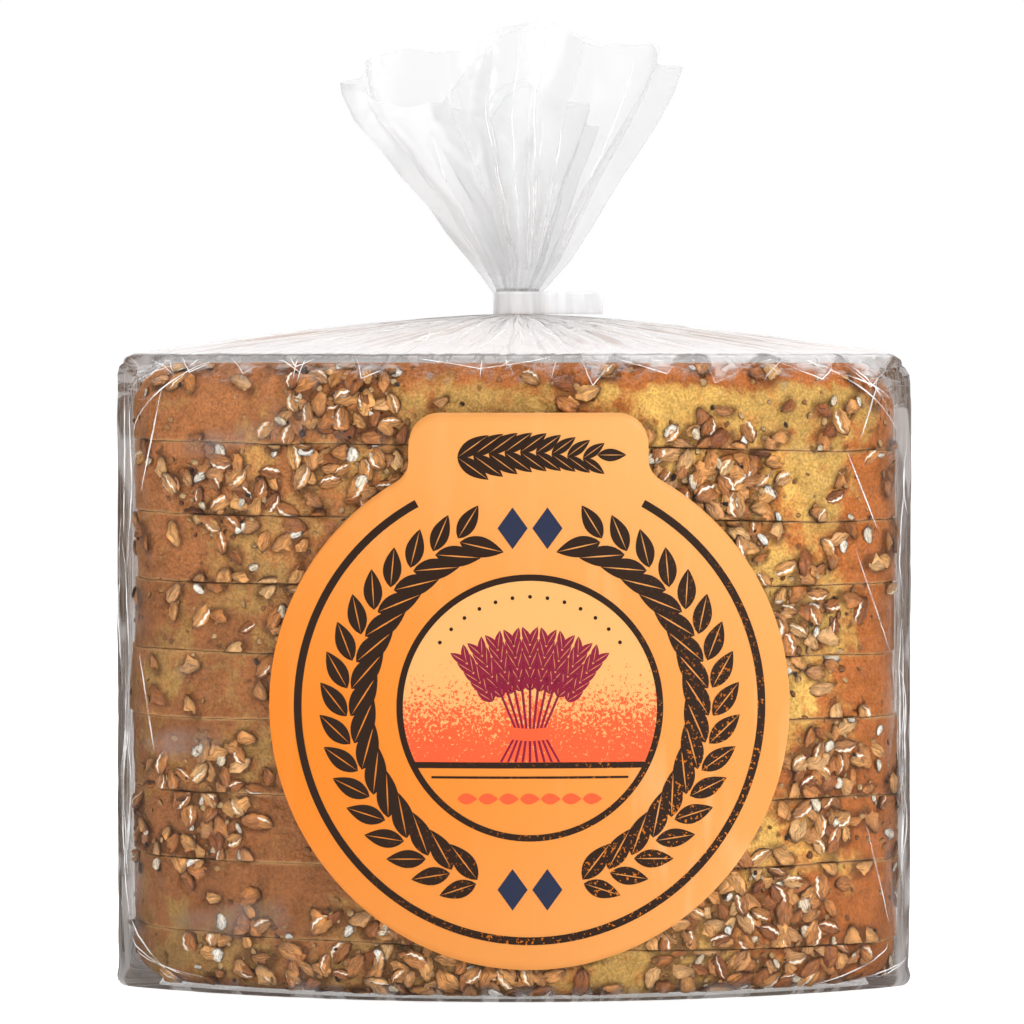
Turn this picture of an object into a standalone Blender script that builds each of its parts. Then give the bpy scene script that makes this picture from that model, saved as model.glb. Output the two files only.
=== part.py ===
"""A small seeded sliced loaf standing on its end in a clear bag.

The bag is drawn in over the top of the loaf, held by a strip of tape round its
neck, and its loose end flares out above the tape. A die-cut paper label, round
with a tab at the top, lies on the front. Metres, +Z up, the front faces -Y, and
the origin is at the bottom centre of the whole pack.
"""

import math
import random

import bmesh
import bpy
from mathutils import Matrix, Vector

MM = 0.001

# The stack of slices inside the bag, from bottom to top
SLICE_COUNT = 9
SLICE_THICKNESS = 12.1 * MM
STACK_BASE = 1.6 * MM
GROOVE_DEPTH = 0.9 * MM
GROOVE_HALF_WIDTH = 0.9 * MM
SLICE_SHIFT = 0.25 * MM
SLACK = 0.3 * MM

# The block that the bag makes round the loaf, seen from above
HALF_WIDTH = 70.6 * MM
HALF_DEPTH = 57.5 * MM
CROWN_RADIUS = 120.0 * MM
CORNER_SHARPNESS = 14.0
BLOCK_HEIGHT = 112.0 * MM
EDGE_ROUNDING = 2.3 * MM
EDGE_STEP = 0.7 * MM
TOP_TAPER = 0.03
TAPER_START = 88.0 * MM
OUTLINE_POINTS = 56
CORNER_CROWDING = 0.13

# The shoulders drawn in to the neck
SHOULDER_RISE = 7.0 * MM
SHOULDER_RINGS = 5
SHOULDER_PLEATS = 9
SHOULDER_PLEAT_DEPTH = 1.1 * MM
NECK_X = 0.7 * MM
NECK_RADIUS = 4.0 * MM

# The tape round the neck, with its flag to the right
GAP = 0.3 * MM
TAPE_BASE = 119.4 * MM
TAPE_HEIGHT = 4.3 * MM
TAPE_THICKNESS = 0.4 * MM
TAPE_POINTS = 28
FLAG_LENGTH = 11.2 * MM
FLAG_THICKNESS = 0.7 * MM

# The loose end of the bag above the tape
FLARE_HALF_WIDTH = 28.4 * MM
FLARE_HALF_DEPTH = 18.0 * MM
FLARE_HEIGHT = 45.5 * MM
FLARE_FILM = 1.1 * MM
FLARE_FLOOR = 0.3
FLARE_STEEPNESS = 1.17
FLARE_PLEATS = 7
FLARE_PLEAT_DEPTH = 0.15
FLARE_RIM_WAVE = 3.4 * MM
FLARE_RINGS = 8

# The label, as it is seen from the front
LABEL_X = 2.75 * MM
LABEL_Z = 51.2 * MM
LABEL_RADIUS = 45.4 * MM
LABEL_THICKNESS = 0.4 * MM
LABEL_COLUMNS = 40
TAB_LEFT = -18.2 * MM
TAB_RIGHT = 23.2 * MM
TAB_TOP = 102.2 * MM
TAB_CORNER = 6.0 * MM

# The seeds that press through the film on the front
SEED_COUNT = 96
SEED_SPACING = 5.4 * MM
SEED_LENGTH = (4.4 * MM, 7.0 * MM)
SEED_WIDTH = 0.52
SEED_HEIGHT = 0.42
SEED_SINK = 0.12
SEED_SIDES = 6
SEED_BANDS = 4
SEED_RANDOM = 7
SEED_ANGLES = (-148.0, -32.0)
SEED_LABEL_CLEARANCE = 4.2 * MM
SEED_EDGE_CLEARANCE = 5.5 * MM
SEED_SIDE_CLEARANCE = 8.0 * MM

FILM_COLOUR = (0.80, 0.60, 0.38, 1.0)
TAPE_COLOUR = (0.88, 0.89, 0.90, 1.0)
LABEL_COLOUR = (0.93, 0.42, 0.09, 1.0)


def clear_scene():
    """Removes whatever the scene holds before the pack is modelled."""
    for old in list(bpy.data.objects):
        bpy.data.objects.remove(old, do_unlink=True)


def smoothstep(low, high, value):
    """Goes from 0 at low to 1 at high with no corner at either end."""
    share = min(1.0, max(0.0, (value - low) / (high - low)))
    return share * share * (3.0 - 2.0 * share)


def finish_material(name, colour, roughness, metallic=0.0):
    """A plain finish in the pack's own colour."""
    material = bpy.data.materials.new(name)
    material.use_nodes = True
    shader = material.node_tree.nodes["Principled BSDF"]
    shader.inputs["Base Color"].default_value = colour
    shader.inputs["Roughness"].default_value = roughness
    shader.inputs["Metallic"].default_value = metallic
    material.diffuse_color = colour
    return material


def object_from(name, work, material, location=(0.0, 0.0, 0.0)):
    """Turns a bmesh into a named object of the scene, shaded smooth."""
    bmesh.ops.recalc_face_normals(work, faces=work.faces)
    mesh = bpy.data.meshes.new(name)
    work.to_mesh(mesh)
    work.free()
    mesh.materials.append(material)
    mesh.shade_smooth()
    mesh.set_sharp_from_angle(angle=math.radians(35.0))
    made = bpy.data.objects.new(name, mesh)
    made.location = location
    bpy.context.scene.collection.objects.link(made)
    return made


def loft(work, rings):
    """Joins rings of points with walls and closes the first and the last ring."""
    made = [[work.verts.new(point) for point in ring] for ring in rings]
    for lower, upper in zip(made, made[1:]):
        for i in range(len(lower)):
            j = (i + 1) % len(lower)
            work.faces.new((lower[i], lower[j], upper[j], upper[i]))
    work.faces.new(list(reversed(made[0])))
    work.faces.new(made[-1])


def crown_reach(angle):
    """How far the domed front lies from the middle of the block at this angle."""
    centre = CROWN_RADIUS - HALF_DEPTH
    along = centre * math.sin(angle)
    return along + math.sqrt(along * along + CROWN_RADIUS**2 - centre**2)


def block_reach(angle):
    """The block's outline seen from above: domed front, flat sides and back."""
    limits = [HALF_WIDTH / max(abs(math.cos(angle)), 1e-9), crown_reach(angle)]
    if math.sin(angle) > 0.0:
        limits.append(HALF_DEPTH / max(math.sin(angle), 1e-9))
    total = sum(limit**-CORNER_SHARPNESS for limit in limits)
    return total ** (-1.0 / CORNER_SHARPNESS)


def outline_angles():
    """Angles round the block, closer together at its four corners."""
    angles = []
    for i in range(OUTLINE_POINTS):
        turn = 2.0 * math.pi * i / OUTLINE_POINTS
        angles.append(turn + CORNER_CROWDING * math.sin(4.0 * turn))
    return angles


def slice_relief(slice_index, angle):
    """How far one slice stands back from its neighbours, front and back."""
    wander = math.sin(slice_index * 2.4 + 0.6) * math.cos(slice_index * 1.1)
    lean = 0.4 * math.sin(angle + slice_index * 1.7)
    return SLICE_SHIFT * (1.0 + wander + lean)


def contact(angle):
    """1 where the film lies tight on the bread, at the front, and 0 at the sides."""
    front = smoothstep(0.35, 0.75, -math.sin(angle))
    back = 0.6 * smoothstep(0.45, 0.8, math.sin(angle))
    return max(front, back)


def block_ring(height, inset, relief):
    """One level of the block: its outline drawn in by inset and by the relief."""
    taper = 1.0 - TOP_TAPER * smoothstep(TAPER_START, BLOCK_HEIGHT, height)
    ring = []
    for angle in outline_angles():
        reach = block_reach(angle) - inset - relief(angle) * contact(angle)
        x = reach * math.cos(angle) * taper
        ring.append((x, reach * math.sin(angle), height))
    return ring


def block_rings():
    """The levels of the block, with a groove where two slices meet."""
    rings = [
        block_ring(0.0, EDGE_ROUNDING, lambda angle: 0.0),
        block_ring(EDGE_STEP, EDGE_STEP, lambda angle: 0.0),
    ]
    for index in range(SLICE_COUNT):
        low = STACK_BASE + index * SLICE_THICKNESS
        high = low + SLICE_THICKNESS

        def stand_back(angle, index=index):
            return slice_relief(index, angle)

        rings.append(block_ring(low + GROOVE_HALF_WIDTH, 0.0, stand_back))
        if index < SLICE_COUNT - 1:
            rings.append(block_ring(high - GROOVE_HALF_WIDTH, 0.0, stand_back))
            rings.append(block_ring(high, 0.0, lambda angle: GROOVE_DEPTH))
    rings.append(block_ring(BLOCK_HEIGHT - EDGE_ROUNDING, 0.0, lambda angle: SLACK))
    rings.append(block_ring(BLOCK_HEIGHT - EDGE_STEP, EDGE_STEP, lambda angle: SLACK))
    return rings


def neck_point(angle, height):
    """A point of the gathered neck."""
    x = NECK_X + NECK_RADIUS * math.cos(angle)
    return (x, NECK_RADIUS * math.sin(angle), height)


def shoulder_rings():
    """The film drawn in from the block's top edge to the neck, in soft pleats."""
    edge = block_ring(BLOCK_HEIGHT, EDGE_ROUNDING, lambda angle: SLACK)
    rings = []
    for step in range(SHOULDER_RINGS):
        share = step / SHOULDER_RINGS
        ring = []
        for angle, start in zip(outline_angles(), edge):
            end = neck_point(angle, BLOCK_HEIGHT + SHOULDER_RISE)
            pleat = math.sin(SHOULDER_PLEATS * angle + 0.7 * math.sin(3.0 * angle))
            sink = SHOULDER_PLEAT_DEPTH * min(pleat, 0.0) * 4.0 * share * (1.0 - share)
            point = [a + (b - a) * share for a, b in zip(start, end)]
            ring.append((point[0], point[1], point[2] + sink))
        rings.append(ring)
    for height in (BLOCK_HEIGHT + SHOULDER_RISE, TAPE_BASE + TAPE_HEIGHT + GAP):
        rings.append([neck_point(angle, height) for angle in outline_angles()])
    return rings


def opened(share):
    """How far the loose end has opened: nearly straight, then turned upright."""
    steep = FLARE_STEEPNESS * share
    full = FLARE_STEEPNESS / (1.0 + FLARE_STEEPNESS**5) ** 0.2
    return steep / (1.0 + steep**5) ** 0.2 / full


def flare_point(angle, share, inset):
    """A point of the loose end: share goes from 0 at the neck to 1 at the rim."""
    fold = math.cos(FLARE_PLEATS * angle + 1.1 * math.sin(2.0 * angle) + 0.4)
    wave = 1.0 + FLARE_PLEAT_DEPTH * opened(share) * fold
    half_x = NECK_RADIUS + (FLARE_HALF_WIDTH - NECK_RADIUS) * opened(share)
    half_y = NECK_RADIUS + (FLARE_HALF_DEPTH - NECK_RADIUS) * opened(share)
    x = half_x * wave * math.cos(angle)
    y = half_y * wave * math.sin(angle)
    reach = math.hypot(x, y)
    kept = max(reach - inset, 0.5 * MM) / reach
    peak = FLARE_RIM_WAVE * math.sin(angle) ** 2
    top = FLARE_HEIGHT + peak + 0.5 * FLARE_RIM_WAVE * fold
    start = TAPE_BASE + TAPE_HEIGHT + GAP
    return (NECK_X + x * kept, y * kept, start + top * share)


def flare_rings():
    """The loose end: a pleated funnel, up its outside and down its inside."""
    outside = [(i + 1) / FLARE_RINGS for i in range(FLARE_RINGS)]
    inside = [share for share in reversed(outside) if share > FLARE_FLOOR]
    rings = []
    for shares, inset in ((outside, 0.0), (inside, FLARE_FILM)):
        for share in shares:
            rings.append([flare_point(angle, share, inset) for angle in outline_angles()])
    return rings


def label_top(x):
    """The label's upper edge at x, seen from the front, or None past its sides."""
    across = x - LABEL_X
    if abs(across) > LABEL_RADIUS:
        return None
    top = LABEL_Z + math.sqrt(LABEL_RADIUS**2 - across**2)
    if TAB_LEFT < x < TAB_RIGHT:
        from_side = min(x - TAB_LEFT, TAB_RIGHT - x)
        corner = TAB_CORNER - min(from_side, TAB_CORNER)
        drop = TAB_CORNER - math.sqrt(TAB_CORNER**2 - corner**2)
        top = max(top, TAB_TOP - drop)
    return top


def label_bottom(x):
    """The label's lower edge at x, seen from the front."""
    across = min(abs(x - LABEL_X), LABEL_RADIUS)
    return LABEL_Z - math.sqrt(LABEL_RADIUS**2 - across**2)


def under_label(x, z):
    """True if a seed here would touch the label."""
    clear = SEED_LABEL_CLEARANCE
    in_circle = math.hypot(x - LABEL_X, z - LABEL_Z) < LABEL_RADIUS + clear
    in_tab = TAB_LEFT - clear < x < TAB_RIGHT + clear and LABEL_Z < z < TAB_TOP + clear
    return in_circle or in_tab


def seed_spots():
    """Places and lengths of the seeds, the largest first, spread over the front."""
    draw = random.Random(SEED_RANDOM)
    spots = []
    tries = 0
    while len(spots) < SEED_COUNT and tries < 20000:
        tries += 1
        angle = math.radians(draw.uniform(*SEED_ANGLES))
        z = draw.uniform(SEED_EDGE_CLEARANCE, BLOCK_HEIGHT - SEED_EDGE_CLEARANCE)
        x = block_reach(angle) * math.cos(angle)
        y = block_reach(angle) * math.sin(angle)
        if abs(x) > HALF_WIDTH - SEED_SIDE_CLEARANCE or under_label(x, z):
            continue
        if any(math.dist((x, y, z), other[0]) < SEED_SPACING for other in spots):
            continue
        spots.append(((x, y, z), angle, draw.random(), draw.uniform(0.0, math.pi)))
    return sorted(spots, key=lambda spot: -spot[2])


def seed_bmesh(length, width, height):
    """One low kernel, pointed at both ends, lying along its own X."""
    work = bmesh.new()
    rings = []
    for band in range(1, SEED_BANDS):
        around = math.pi * band / SEED_BANDS
        ring = []
        for side in range(SEED_SIDES):
            turn = 2.0 * math.pi * side / SEED_SIDES
            ring.append(
                (
                    -math.cos(around) * length / 2,
                    math.sin(around) * math.cos(turn) * width / 2,
                    math.sin(around) * math.sin(turn) * height / 2,
                )
            )
        rings.append([work.verts.new(point) for point in ring])
    ends = [work.verts.new((-length / 2, 0, 0)), work.verts.new((length / 2, 0, 0))]
    for i in range(SEED_SIDES):
        j = (i + 1) % SEED_SIDES
        work.faces.new((ends[0], rings[0][j], rings[0][i]))
        work.faces.new((ends[1], rings[-1][i], rings[-1][j]))
        for lower, upper in zip(rings, rings[1:]):
            work.faces.new((lower[i], lower[j], upper[j], upper[i]))
    return work


def fuse_seeds(bag, material):
    """Lays the seeds on the front of the bag and joins them into it."""
    group = bpy.data.collections.new("seeds")
    bpy.context.scene.collection.children.link(group)
    for number, (place, angle, share, spin) in enumerate(seed_spots()):
        length = SEED_LENGTH[0] + (SEED_LENGTH[1] - SEED_LENGTH[0]) * share
        height = length * SEED_HEIGHT
        kernel = seed_bmesh(length, length * SEED_WIDTH, height)
        seed = object_from(f"seed_{number}", kernel, material)
        bpy.context.scene.collection.objects.unlink(seed)
        group.objects.link(seed)
        outward = Vector((math.cos(angle), math.sin(angle), 0.0))
        upright = Vector((0.0, 0.0, 1.0))
        along = outward.cross(upright)
        turned = Matrix.Rotation(spin, 4, outward)
        axes = Matrix((along, outward.cross(along), outward)).transposed().to_4x4()
        sunk = Vector(place) - outward * (height * SEED_SINK)
        seed.matrix_world = Matrix.Translation(sunk) @ turned @ axes
    bpy.context.view_layer.update()
    union = bag.modifiers.new("seeds", "BOOLEAN")
    union.operation = "UNION"
    union.operand_type = "COLLECTION"
    union.collection = group
    union.solver = "MANIFOLD"
    bpy.context.view_layer.update()
    graph = bpy.context.evaluated_depsgraph_get()
    joined = bpy.data.meshes.new_from_object(bag.evaluated_get(graph))
    bag.modifiers.clear()
    bag.data = joined
    for seed in list(group.objects):
        bpy.data.objects.remove(seed, do_unlink=True)
    bpy.data.collections.remove(group)


def build_sealed_bag():
    """The closed bag with the loaf in it: block, shoulders, neck and loose end."""
    material = finish_material("clear_film_over_seeded_crust", FILM_COLOUR, 0.35)
    work = bmesh.new()
    loft(work, block_rings() + shoulder_rings() + flare_rings())
    bag = object_from("sealed_bag", work, material)
    fuse_seeds(bag, material)
    return bag


def build_neck_tape():
    """A band of tape round the neck whose two ends are stuck into a flag."""
    material = finish_material("tape", TAPE_COLOUR, 0.4)
    work = bmesh.new()
    inner_radius = NECK_RADIUS + GAP
    outer_radius = inner_radius + TAPE_THICKNESS
    inner, outer = [], []
    for i in range(TAPE_POINTS):
        turn = 2.0 * math.pi * (i - 0.5) / TAPE_POINTS
        x, y = math.cos(turn), math.sin(turn)
        inner.append(work.verts.new((inner_radius * x, inner_radius * y, 0.0)))
        outer.append(work.verts.new((outer_radius * x, outer_radius * y, 0.0)))
    for i in range(TAPE_POINTS):
        j = (i + 1) % TAPE_POINTS
        work.faces.new((inner[i], outer[i], outer[j], inner[j]))
    tip = outer_radius + FLAG_LENGTH
    low = work.verts.new((tip, -FLAG_THICKNESS / 2, 0.0))
    high = work.verts.new((tip, FLAG_THICKNESS / 2, 0.0))
    work.faces.new((outer[0], low, high, outer[1]))
    grown = bmesh.ops.extrude_face_region(work, geom=work.faces[:])
    moved = [part for part in grown["geom"] if isinstance(part, bmesh.types.BMVert)]
    bmesh.ops.translate(work, verts=moved, vec=(0.0, 0.0, TAPE_HEIGHT))
    return object_from("neck_tape", work, material, (NECK_X, 0.0, TAPE_BASE))


def label_columns():
    """Where the label's columns stand, closer together near its two sides."""
    columns = {LABEL_X + LABEL_RADIUS * side for side in (-0.9995, 0.9995)}
    for i in range(1, LABEL_COLUMNS):
        columns.add(LABEL_X - LABEL_RADIUS * math.cos(math.pi * i / LABEL_COLUMNS))
    for side, inward in ((TAB_LEFT, 1.0), (TAB_RIGHT, -1.0)):
        columns.update(side + inward * step * MM for step in (-0.02, 0.02, 0.6, 2.0))
    return sorted(columns)


def build_label():
    """The label, a thin sheet that follows the domed front of the block."""
    material = finish_material("orange_label", LABEL_COLOUR, 0.35)
    work = bmesh.new()
    centre_y = CROWN_RADIUS - HALF_DEPTH
    columns = []
    for x in label_columns():
        posts = []
        for radius in (CROWN_RADIUS + GAP, CROWN_RADIUS + GAP + LABEL_THICKNESS):
            y = centre_y - math.sqrt(radius**2 - x * x)
            for z in (label_bottom(x), label_top(x)):
                posts.append(work.verts.new((x, y, z)))
        columns.append(posts)
    for left, right in zip(columns, columns[1:]):
        back_low, back_high, front_low, front_high = range(4)
        for a, b in (
            (back_low, back_high),
            (front_high, front_low),
            (back_high, front_high),
            (front_low, back_low),
        ):
            work.faces.new((left[a], left[b], right[b], right[a]))
    for posts in (columns[0], columns[-1]):
        work.faces.new((posts[0], posts[1], posts[3], posts[2]))
    return object_from("label", work, material)


def centre_on_origin(pieces):
    """Moves the pack so that the middle of its base is the origin."""
    bpy.context.view_layer.update()
    corners = [
        piece.matrix_world @ vertex.co for piece in pieces for vertex in piece.data.vertices
    ]
    middle = Vector(
        (
            (min(c.x for c in corners) + max(c.x for c in corners)) / 2,
            (min(c.y for c in corners) + max(c.y for c in corners)) / 2,
            min(c.z for c in corners),
        )
    )
    pack = bpy.data.objects.new("bread_pack", None)
    bpy.context.scene.collection.objects.link(pack)
    for piece in pieces:
        piece.parent = pack
    pack.location = -middle


def main():
    """Models the pack and stands it on the origin."""
    clear_scene()
    pieces = [build_sealed_bag(), build_neck_tape(), build_label()]
    centre_on_origin(pieces)


main()
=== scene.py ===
"""A small seeded loaf in a clear bag: slices, grains, film, loose end, tape and label.

The pack stands on its end with its neck up. The front faces -Y, and every size is in
metres. Each class below is one sub-assembly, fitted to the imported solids.
"""

import logging
import math
from dataclasses import dataclass, field
from enum import Enum
from itertools import product
from typing import Any, ClassVar, Iterable, Sequence

import bpy
import numpy as np
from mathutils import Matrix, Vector


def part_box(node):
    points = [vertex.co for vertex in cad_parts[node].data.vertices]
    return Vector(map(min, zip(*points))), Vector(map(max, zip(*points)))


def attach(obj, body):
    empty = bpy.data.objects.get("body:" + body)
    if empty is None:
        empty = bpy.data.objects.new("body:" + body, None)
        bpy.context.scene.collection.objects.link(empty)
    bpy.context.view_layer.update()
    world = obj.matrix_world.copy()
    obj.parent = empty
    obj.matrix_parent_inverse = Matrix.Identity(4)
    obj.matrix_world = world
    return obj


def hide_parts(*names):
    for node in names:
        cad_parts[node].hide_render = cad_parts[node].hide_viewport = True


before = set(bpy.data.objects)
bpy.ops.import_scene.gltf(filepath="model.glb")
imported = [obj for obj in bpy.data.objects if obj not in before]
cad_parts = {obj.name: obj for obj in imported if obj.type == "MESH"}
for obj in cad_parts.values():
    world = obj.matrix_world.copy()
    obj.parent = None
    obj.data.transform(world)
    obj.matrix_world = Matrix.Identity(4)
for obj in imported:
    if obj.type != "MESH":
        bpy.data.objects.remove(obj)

MM = 0.001
LOG = logging.getLogger("bread_pack")

Colour = tuple[float, float, float, float]
Point = tuple[float, float, float]
Edges = tuple[np.ndarray, np.ndarray]
WHITE: Colour = (1.0, 1.0, 1.0, 1.0)


def display(red: int, green: int, blue: int) -> Colour:
    """Turns a colour given as 0 to 255 display values into a shader's linear values."""
    shares = [value / 255.0 for value in (red, green, blue)]
    linear = [s / 12.92 if s <= 0.04045 else ((s + 0.055) / 1.055) ** 2.4 for s in shares]
    return (linear[0], linear[1], linear[2], 1.0)


def ease(low: float, high: float, value: np.ndarray | float) -> np.ndarray:
    """Goes from 0 at low to 1 at high with no corner at either end."""
    share = np.clip((np.asarray(value, float) - low) / (high - low), 0.0, 1.0)
    return share * share * (3.0 - 2.0 * share)


def round_place(angles: np.ndarray, size: float, level: np.ndarray | float) -> np.ndarray:
    """Places on a circle about the upright axis, where a relief is read."""
    return np.stack([np.cos(angles) * size, np.sin(angles) * size, np.zeros(len(angles)) + level], 1)


class Relief:
    """Smooth random relief through space, the same on every run."""

    SIDE = 32

    def __init__(self, seed: int) -> None:
        """Draws the lattice of heights, a different one for each seed."""
        self.lattice = np.random.default_rng(seed).uniform(-1.0, 1.0, (self.SIDE,) * 3)

    def at(self, points: np.ndarray, size: float) -> np.ndarray:
        """Reads the relief at some points.

        Args:
            points: Places, one row of three numbers each.
            size: How wide one bump is.

        Returns:
            Heights between -1 and 1.
        """
        scaled = points / size
        cell = np.floor(scaled).astype(int)
        part = ease(0.0, 1.0, scaled - cell)
        total = np.zeros(len(points))
        for corner in product((0, 1), repeat=3):
            index = (cell + corner) % self.SIDE
            weight = np.prod(np.where(corner, part, 1.0 - part), axis=1)
            total += weight * self.lattice[index[:, 0], index[:, 1], index[:, 2]]
        return total

    def ridges(self, points: np.ndarray, size: float) -> np.ndarray:
        """Reads the relief as sharp ridges, from 0 between them to 1 on top."""
        return 1.0 - np.abs(self.at(points, size))


class Wire:
    """A node's output, ready for sums and for feeding other nodes."""

    def __init__(self, sheet: "Sheet", socket: Any) -> None:
        """Keeps an output together with the sheet that it lies on."""
        self.sheet, self.socket = sheet, socket

    def __add__(self, other: Any) -> "Wire":
        """The sum of both."""
        return self.sheet.maths("ADD", self, other)

    def __sub__(self, other: Any) -> "Wire":
        """This less the other."""
        return self.sheet.maths("SUBTRACT", self, other)

    def __rsub__(self, other: Any) -> "Wire":
        """The other less this."""
        return self.sheet.maths("SUBTRACT", other, self)

    def __mul__(self, other: Any) -> "Wire":
        """The product of both."""
        return self.sheet.maths("MULTIPLY", self, other)

    def __pow__(self, other: Any) -> "Wire":
        """This raised to a power."""
        return self.sheet.maths("POWER", self, other)

    def most(self, other: Any) -> "Wire":
        """The larger of both."""
        return self.sheet.maths("MAXIMUM", self, other)

    def least(self, other: Any) -> "Wire":
        """The smaller of both."""
        return self.sheet.maths("MINIMUM", self, other)

    def past(self, limit: Any) -> "Wire":
        """1 where this is over a limit, and 0 elsewhere."""
        return self.sheet.maths("GREATER_THAN", self, limit)

    def beside(self, name: str) -> "Wire":
        """Another output of the same node."""
        return Wire(self.sheet, self.socket.node.outputs[name])


class Sheet:
    """A node tree under construction, with short ways to add nodes and join them."""

    def __init__(self, tree: bpy.types.NodeTree) -> None:
        """Starts on a tree."""
        self.tree = tree

    def add(self, kind: str, feeds: dict[str, Any] | None = None, out: str = "", **settings: Any) -> Wire:
        """Adds a node.

        Args:
            kind: The node's type name.
            feeds: What each named input gets, a value or another node's output.
            out: The output that is wanted, or nothing for the first.
            **settings: Properties of the node.

        Returns:
            That output.
        """
        node = self.tree.nodes.new(kind)
        for name, value in settings.items():
            setattr(node, name, value)
        for name, value in (feeds or {}).items():
            self.plug(next(s for s in node.inputs if s.enabled and s.name == name), value)
        return Wire(self, next((s for s in node.outputs if s.enabled and out in ("", s.name)), None))

    def plug(self, socket: bpy.types.NodeSocket, value: Any) -> None:
        """Gives one input a value or another node's output."""
        if isinstance(value, Wire):
            self.tree.links.new(value.socket, socket)
        else:
            socket.default_value = value

    def row(self, kind: str, *values: Any, **settings: Any) -> Wire:
        """Adds a node whose inputs are fed in order.

        Args:
            kind: The node's type name.
            *values: What the inputs get.
            **settings: Properties of the node.

        Returns:
            The node's first output.
        """
        made = self.add(kind, **settings)
        for socket, value in zip(made.socket.node.inputs, values):
            self.plug(socket, value)
        return made

    def maths(self, operation: str, *values: Any, clamp: bool = False) -> Wire:
        """The result of a Math node."""
        return self.row("ShaderNodeMath", *values, operation=operation, use_clamp=clamp)

    def over(self, share: Any, first: Wire, second: Wire) -> Wire:
        """Lays the second surface over the first by a share."""
        return self.row("ShaderNodeMixShader", share, first, second)

    def split(self, vector: Wire) -> tuple[Wire, Wire, Wire]:
        """The three parts of a vector."""
        x = self.add("ShaderNodeSeparateXYZ", {"Vector": vector})
        return x, x.beside("Y"), x.beside("Z")

    def join(self, x: Any, y: Any, z: Any) -> Wire:
        """A vector made of three parts."""
        return self.add("ShaderNodeCombineXYZ", {"X": x, "Y": y, "Z": z})

    def band(self, value: Wire, low: float, high: float, to: tuple[float, float] = (0.0, 1.0)) -> Wire:
        """Eases a value from to[0] at low to to[1] at high."""
        feeds = {"Value": value, "From Min": low, "From Max": high, "To Min": to[0], "To Max": to[1]}
        return self.add("ShaderNodeMapRange", feeds, interpolation_type="SMOOTHSTEP")


class Paint(Sheet):
    """A material under construction."""

    def __init__(self, name: str) -> None:
        """Starts an empty material of that name."""
        self.material = bpy.data.materials.new(name)
        self.material.use_nodes = True
        super().__init__(self.material.node_tree)
        self.tree.nodes.clear()
        self.where = self.add("ShaderNodeTexCoord", out="Object")

    def trait(self, name: str) -> Wire:
        """A number that the mesh holds at each point."""
        return self.add("ShaderNodeAttribute", out="Fac", attribute_name=name, attribute_type="GEOMETRY")

    def held_place(self, **scales: float) -> Wire:
        """A place whose three parts are scaled numbers that the mesh holds."""
        return self.join(*(self.trait(name) * scale for name, scale in scales.items()))

    def stretched(self, x: float, y: float, z: float, turn: Point = (0.0, 0.0, 0.0)) -> Wire:
        """The place on the piece, scaled along each axis and turned."""
        feeds = {"Vector": self.where, "Scale": (x, y, z), "Rotation": turn}
        return self.add("ShaderNodeMapping", feeds)

    def noise(
        self,
        scale: float,
        detail: float = 3.0,
        rough: float = 0.5,
        where: Wire | None = None,
        bent: float = 0.0,
    ) -> Wire:
        """A noise pattern around 0.5.

        Args:
            scale: Bumps in a metre.
            detail: How many finer layers it has.
            rough: How strong those layers are.
            where: Another place to read than the piece's own.
            bent: How far the pattern is pushed about.

        Returns:
            The pattern.
        """
        feeds = {"Vector": where or self.where, "Scale": scale, "Detail": detail}
        return self.add("ShaderNodeTexNoise", feeds | {"Roughness": rough, "Distortion": bent})

    def cells(self, scale: float) -> Wire:
        """The distance to the nearest of some scattered spots."""
        return self.add("ShaderNodeTexVoronoi", {"Vector": self.where, "Scale": scale}, "Distance")

    def mix(self, share: Any, first: Any, second: Any, blend: str = "MIX") -> Wire:
        """Mixes the second colour into the first by a share."""
        feeds = {"Factor": share, "A": first, "B": second}
        return self.add("ShaderNodeMix", feeds, data_type="RGBA", blend_type=blend)

    def shaded(self, colour: Any, shade: Wire) -> Wire:
        """A colour made lighter or darker by a number."""
        return self.mix(1.0, colour, self.join(shade, shade, shade), "MULTIPLY")

    def ramp(self, share: Wire, colours: Sequence[Colour]) -> Wire:
        """Looks a share up in a row of evenly spaced colours."""
        found = self.add("ShaderNodeValToRGB", {"Fac": share})
        row = found.socket.node.color_ramp.elements
        while len(row) < len(colours):
            row.new(0.5)
        for index, (element, colour) in enumerate(zip(row, colours)):
            element.position = index / (len(colours) - 1)
            element.color = colour
        return found

    def bump(self, height: Wire, depth: float) -> Wire:
        """A normal bent by a height pattern whose relief is depth metres."""
        return self.add("ShaderNodeBump", {"Height": height, "Strength": 1.0, "Distance": depth})

    def body(self, **feeds: Any) -> Wire:
        """A Principled surface, whose inputs are named with underscores for spaces."""
        named = {key.replace("_", " "): value for key, value in feeds.items()}
        return self.add("ShaderNodeBsdfPrincipled", named)

    def clear(self, light: float = 1.0) -> Wire:
        """Nothing at all, or a little grey where less light passes."""
        return self.add("ShaderNodeBsdfTransparent", {"Color": (light, light, light, 1.0)})

    def lit_through(self, surface: Wire) -> Wire:
        """Lets the lamps' light through a see-through surface with no shadow."""
        return self.over(self.add("ShaderNodeLightPath", out="Is Shadow Ray"), surface, self.clear(0.94))

    def done(self, surface: Wire) -> bpy.types.Material:
        """Closes the material with its surface."""
        self.add("ShaderNodeOutputMaterial", {"Surface": surface})
        return self.material


def shown(mesh: bpy.types.Mesh, name: str) -> bpy.types.Object:
    """Puts a mesh in the scene as an object at the origin."""
    made = bpy.data.objects.new(name, mesh)
    bpy.context.scene.collection.objects.link(made)
    return made


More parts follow.
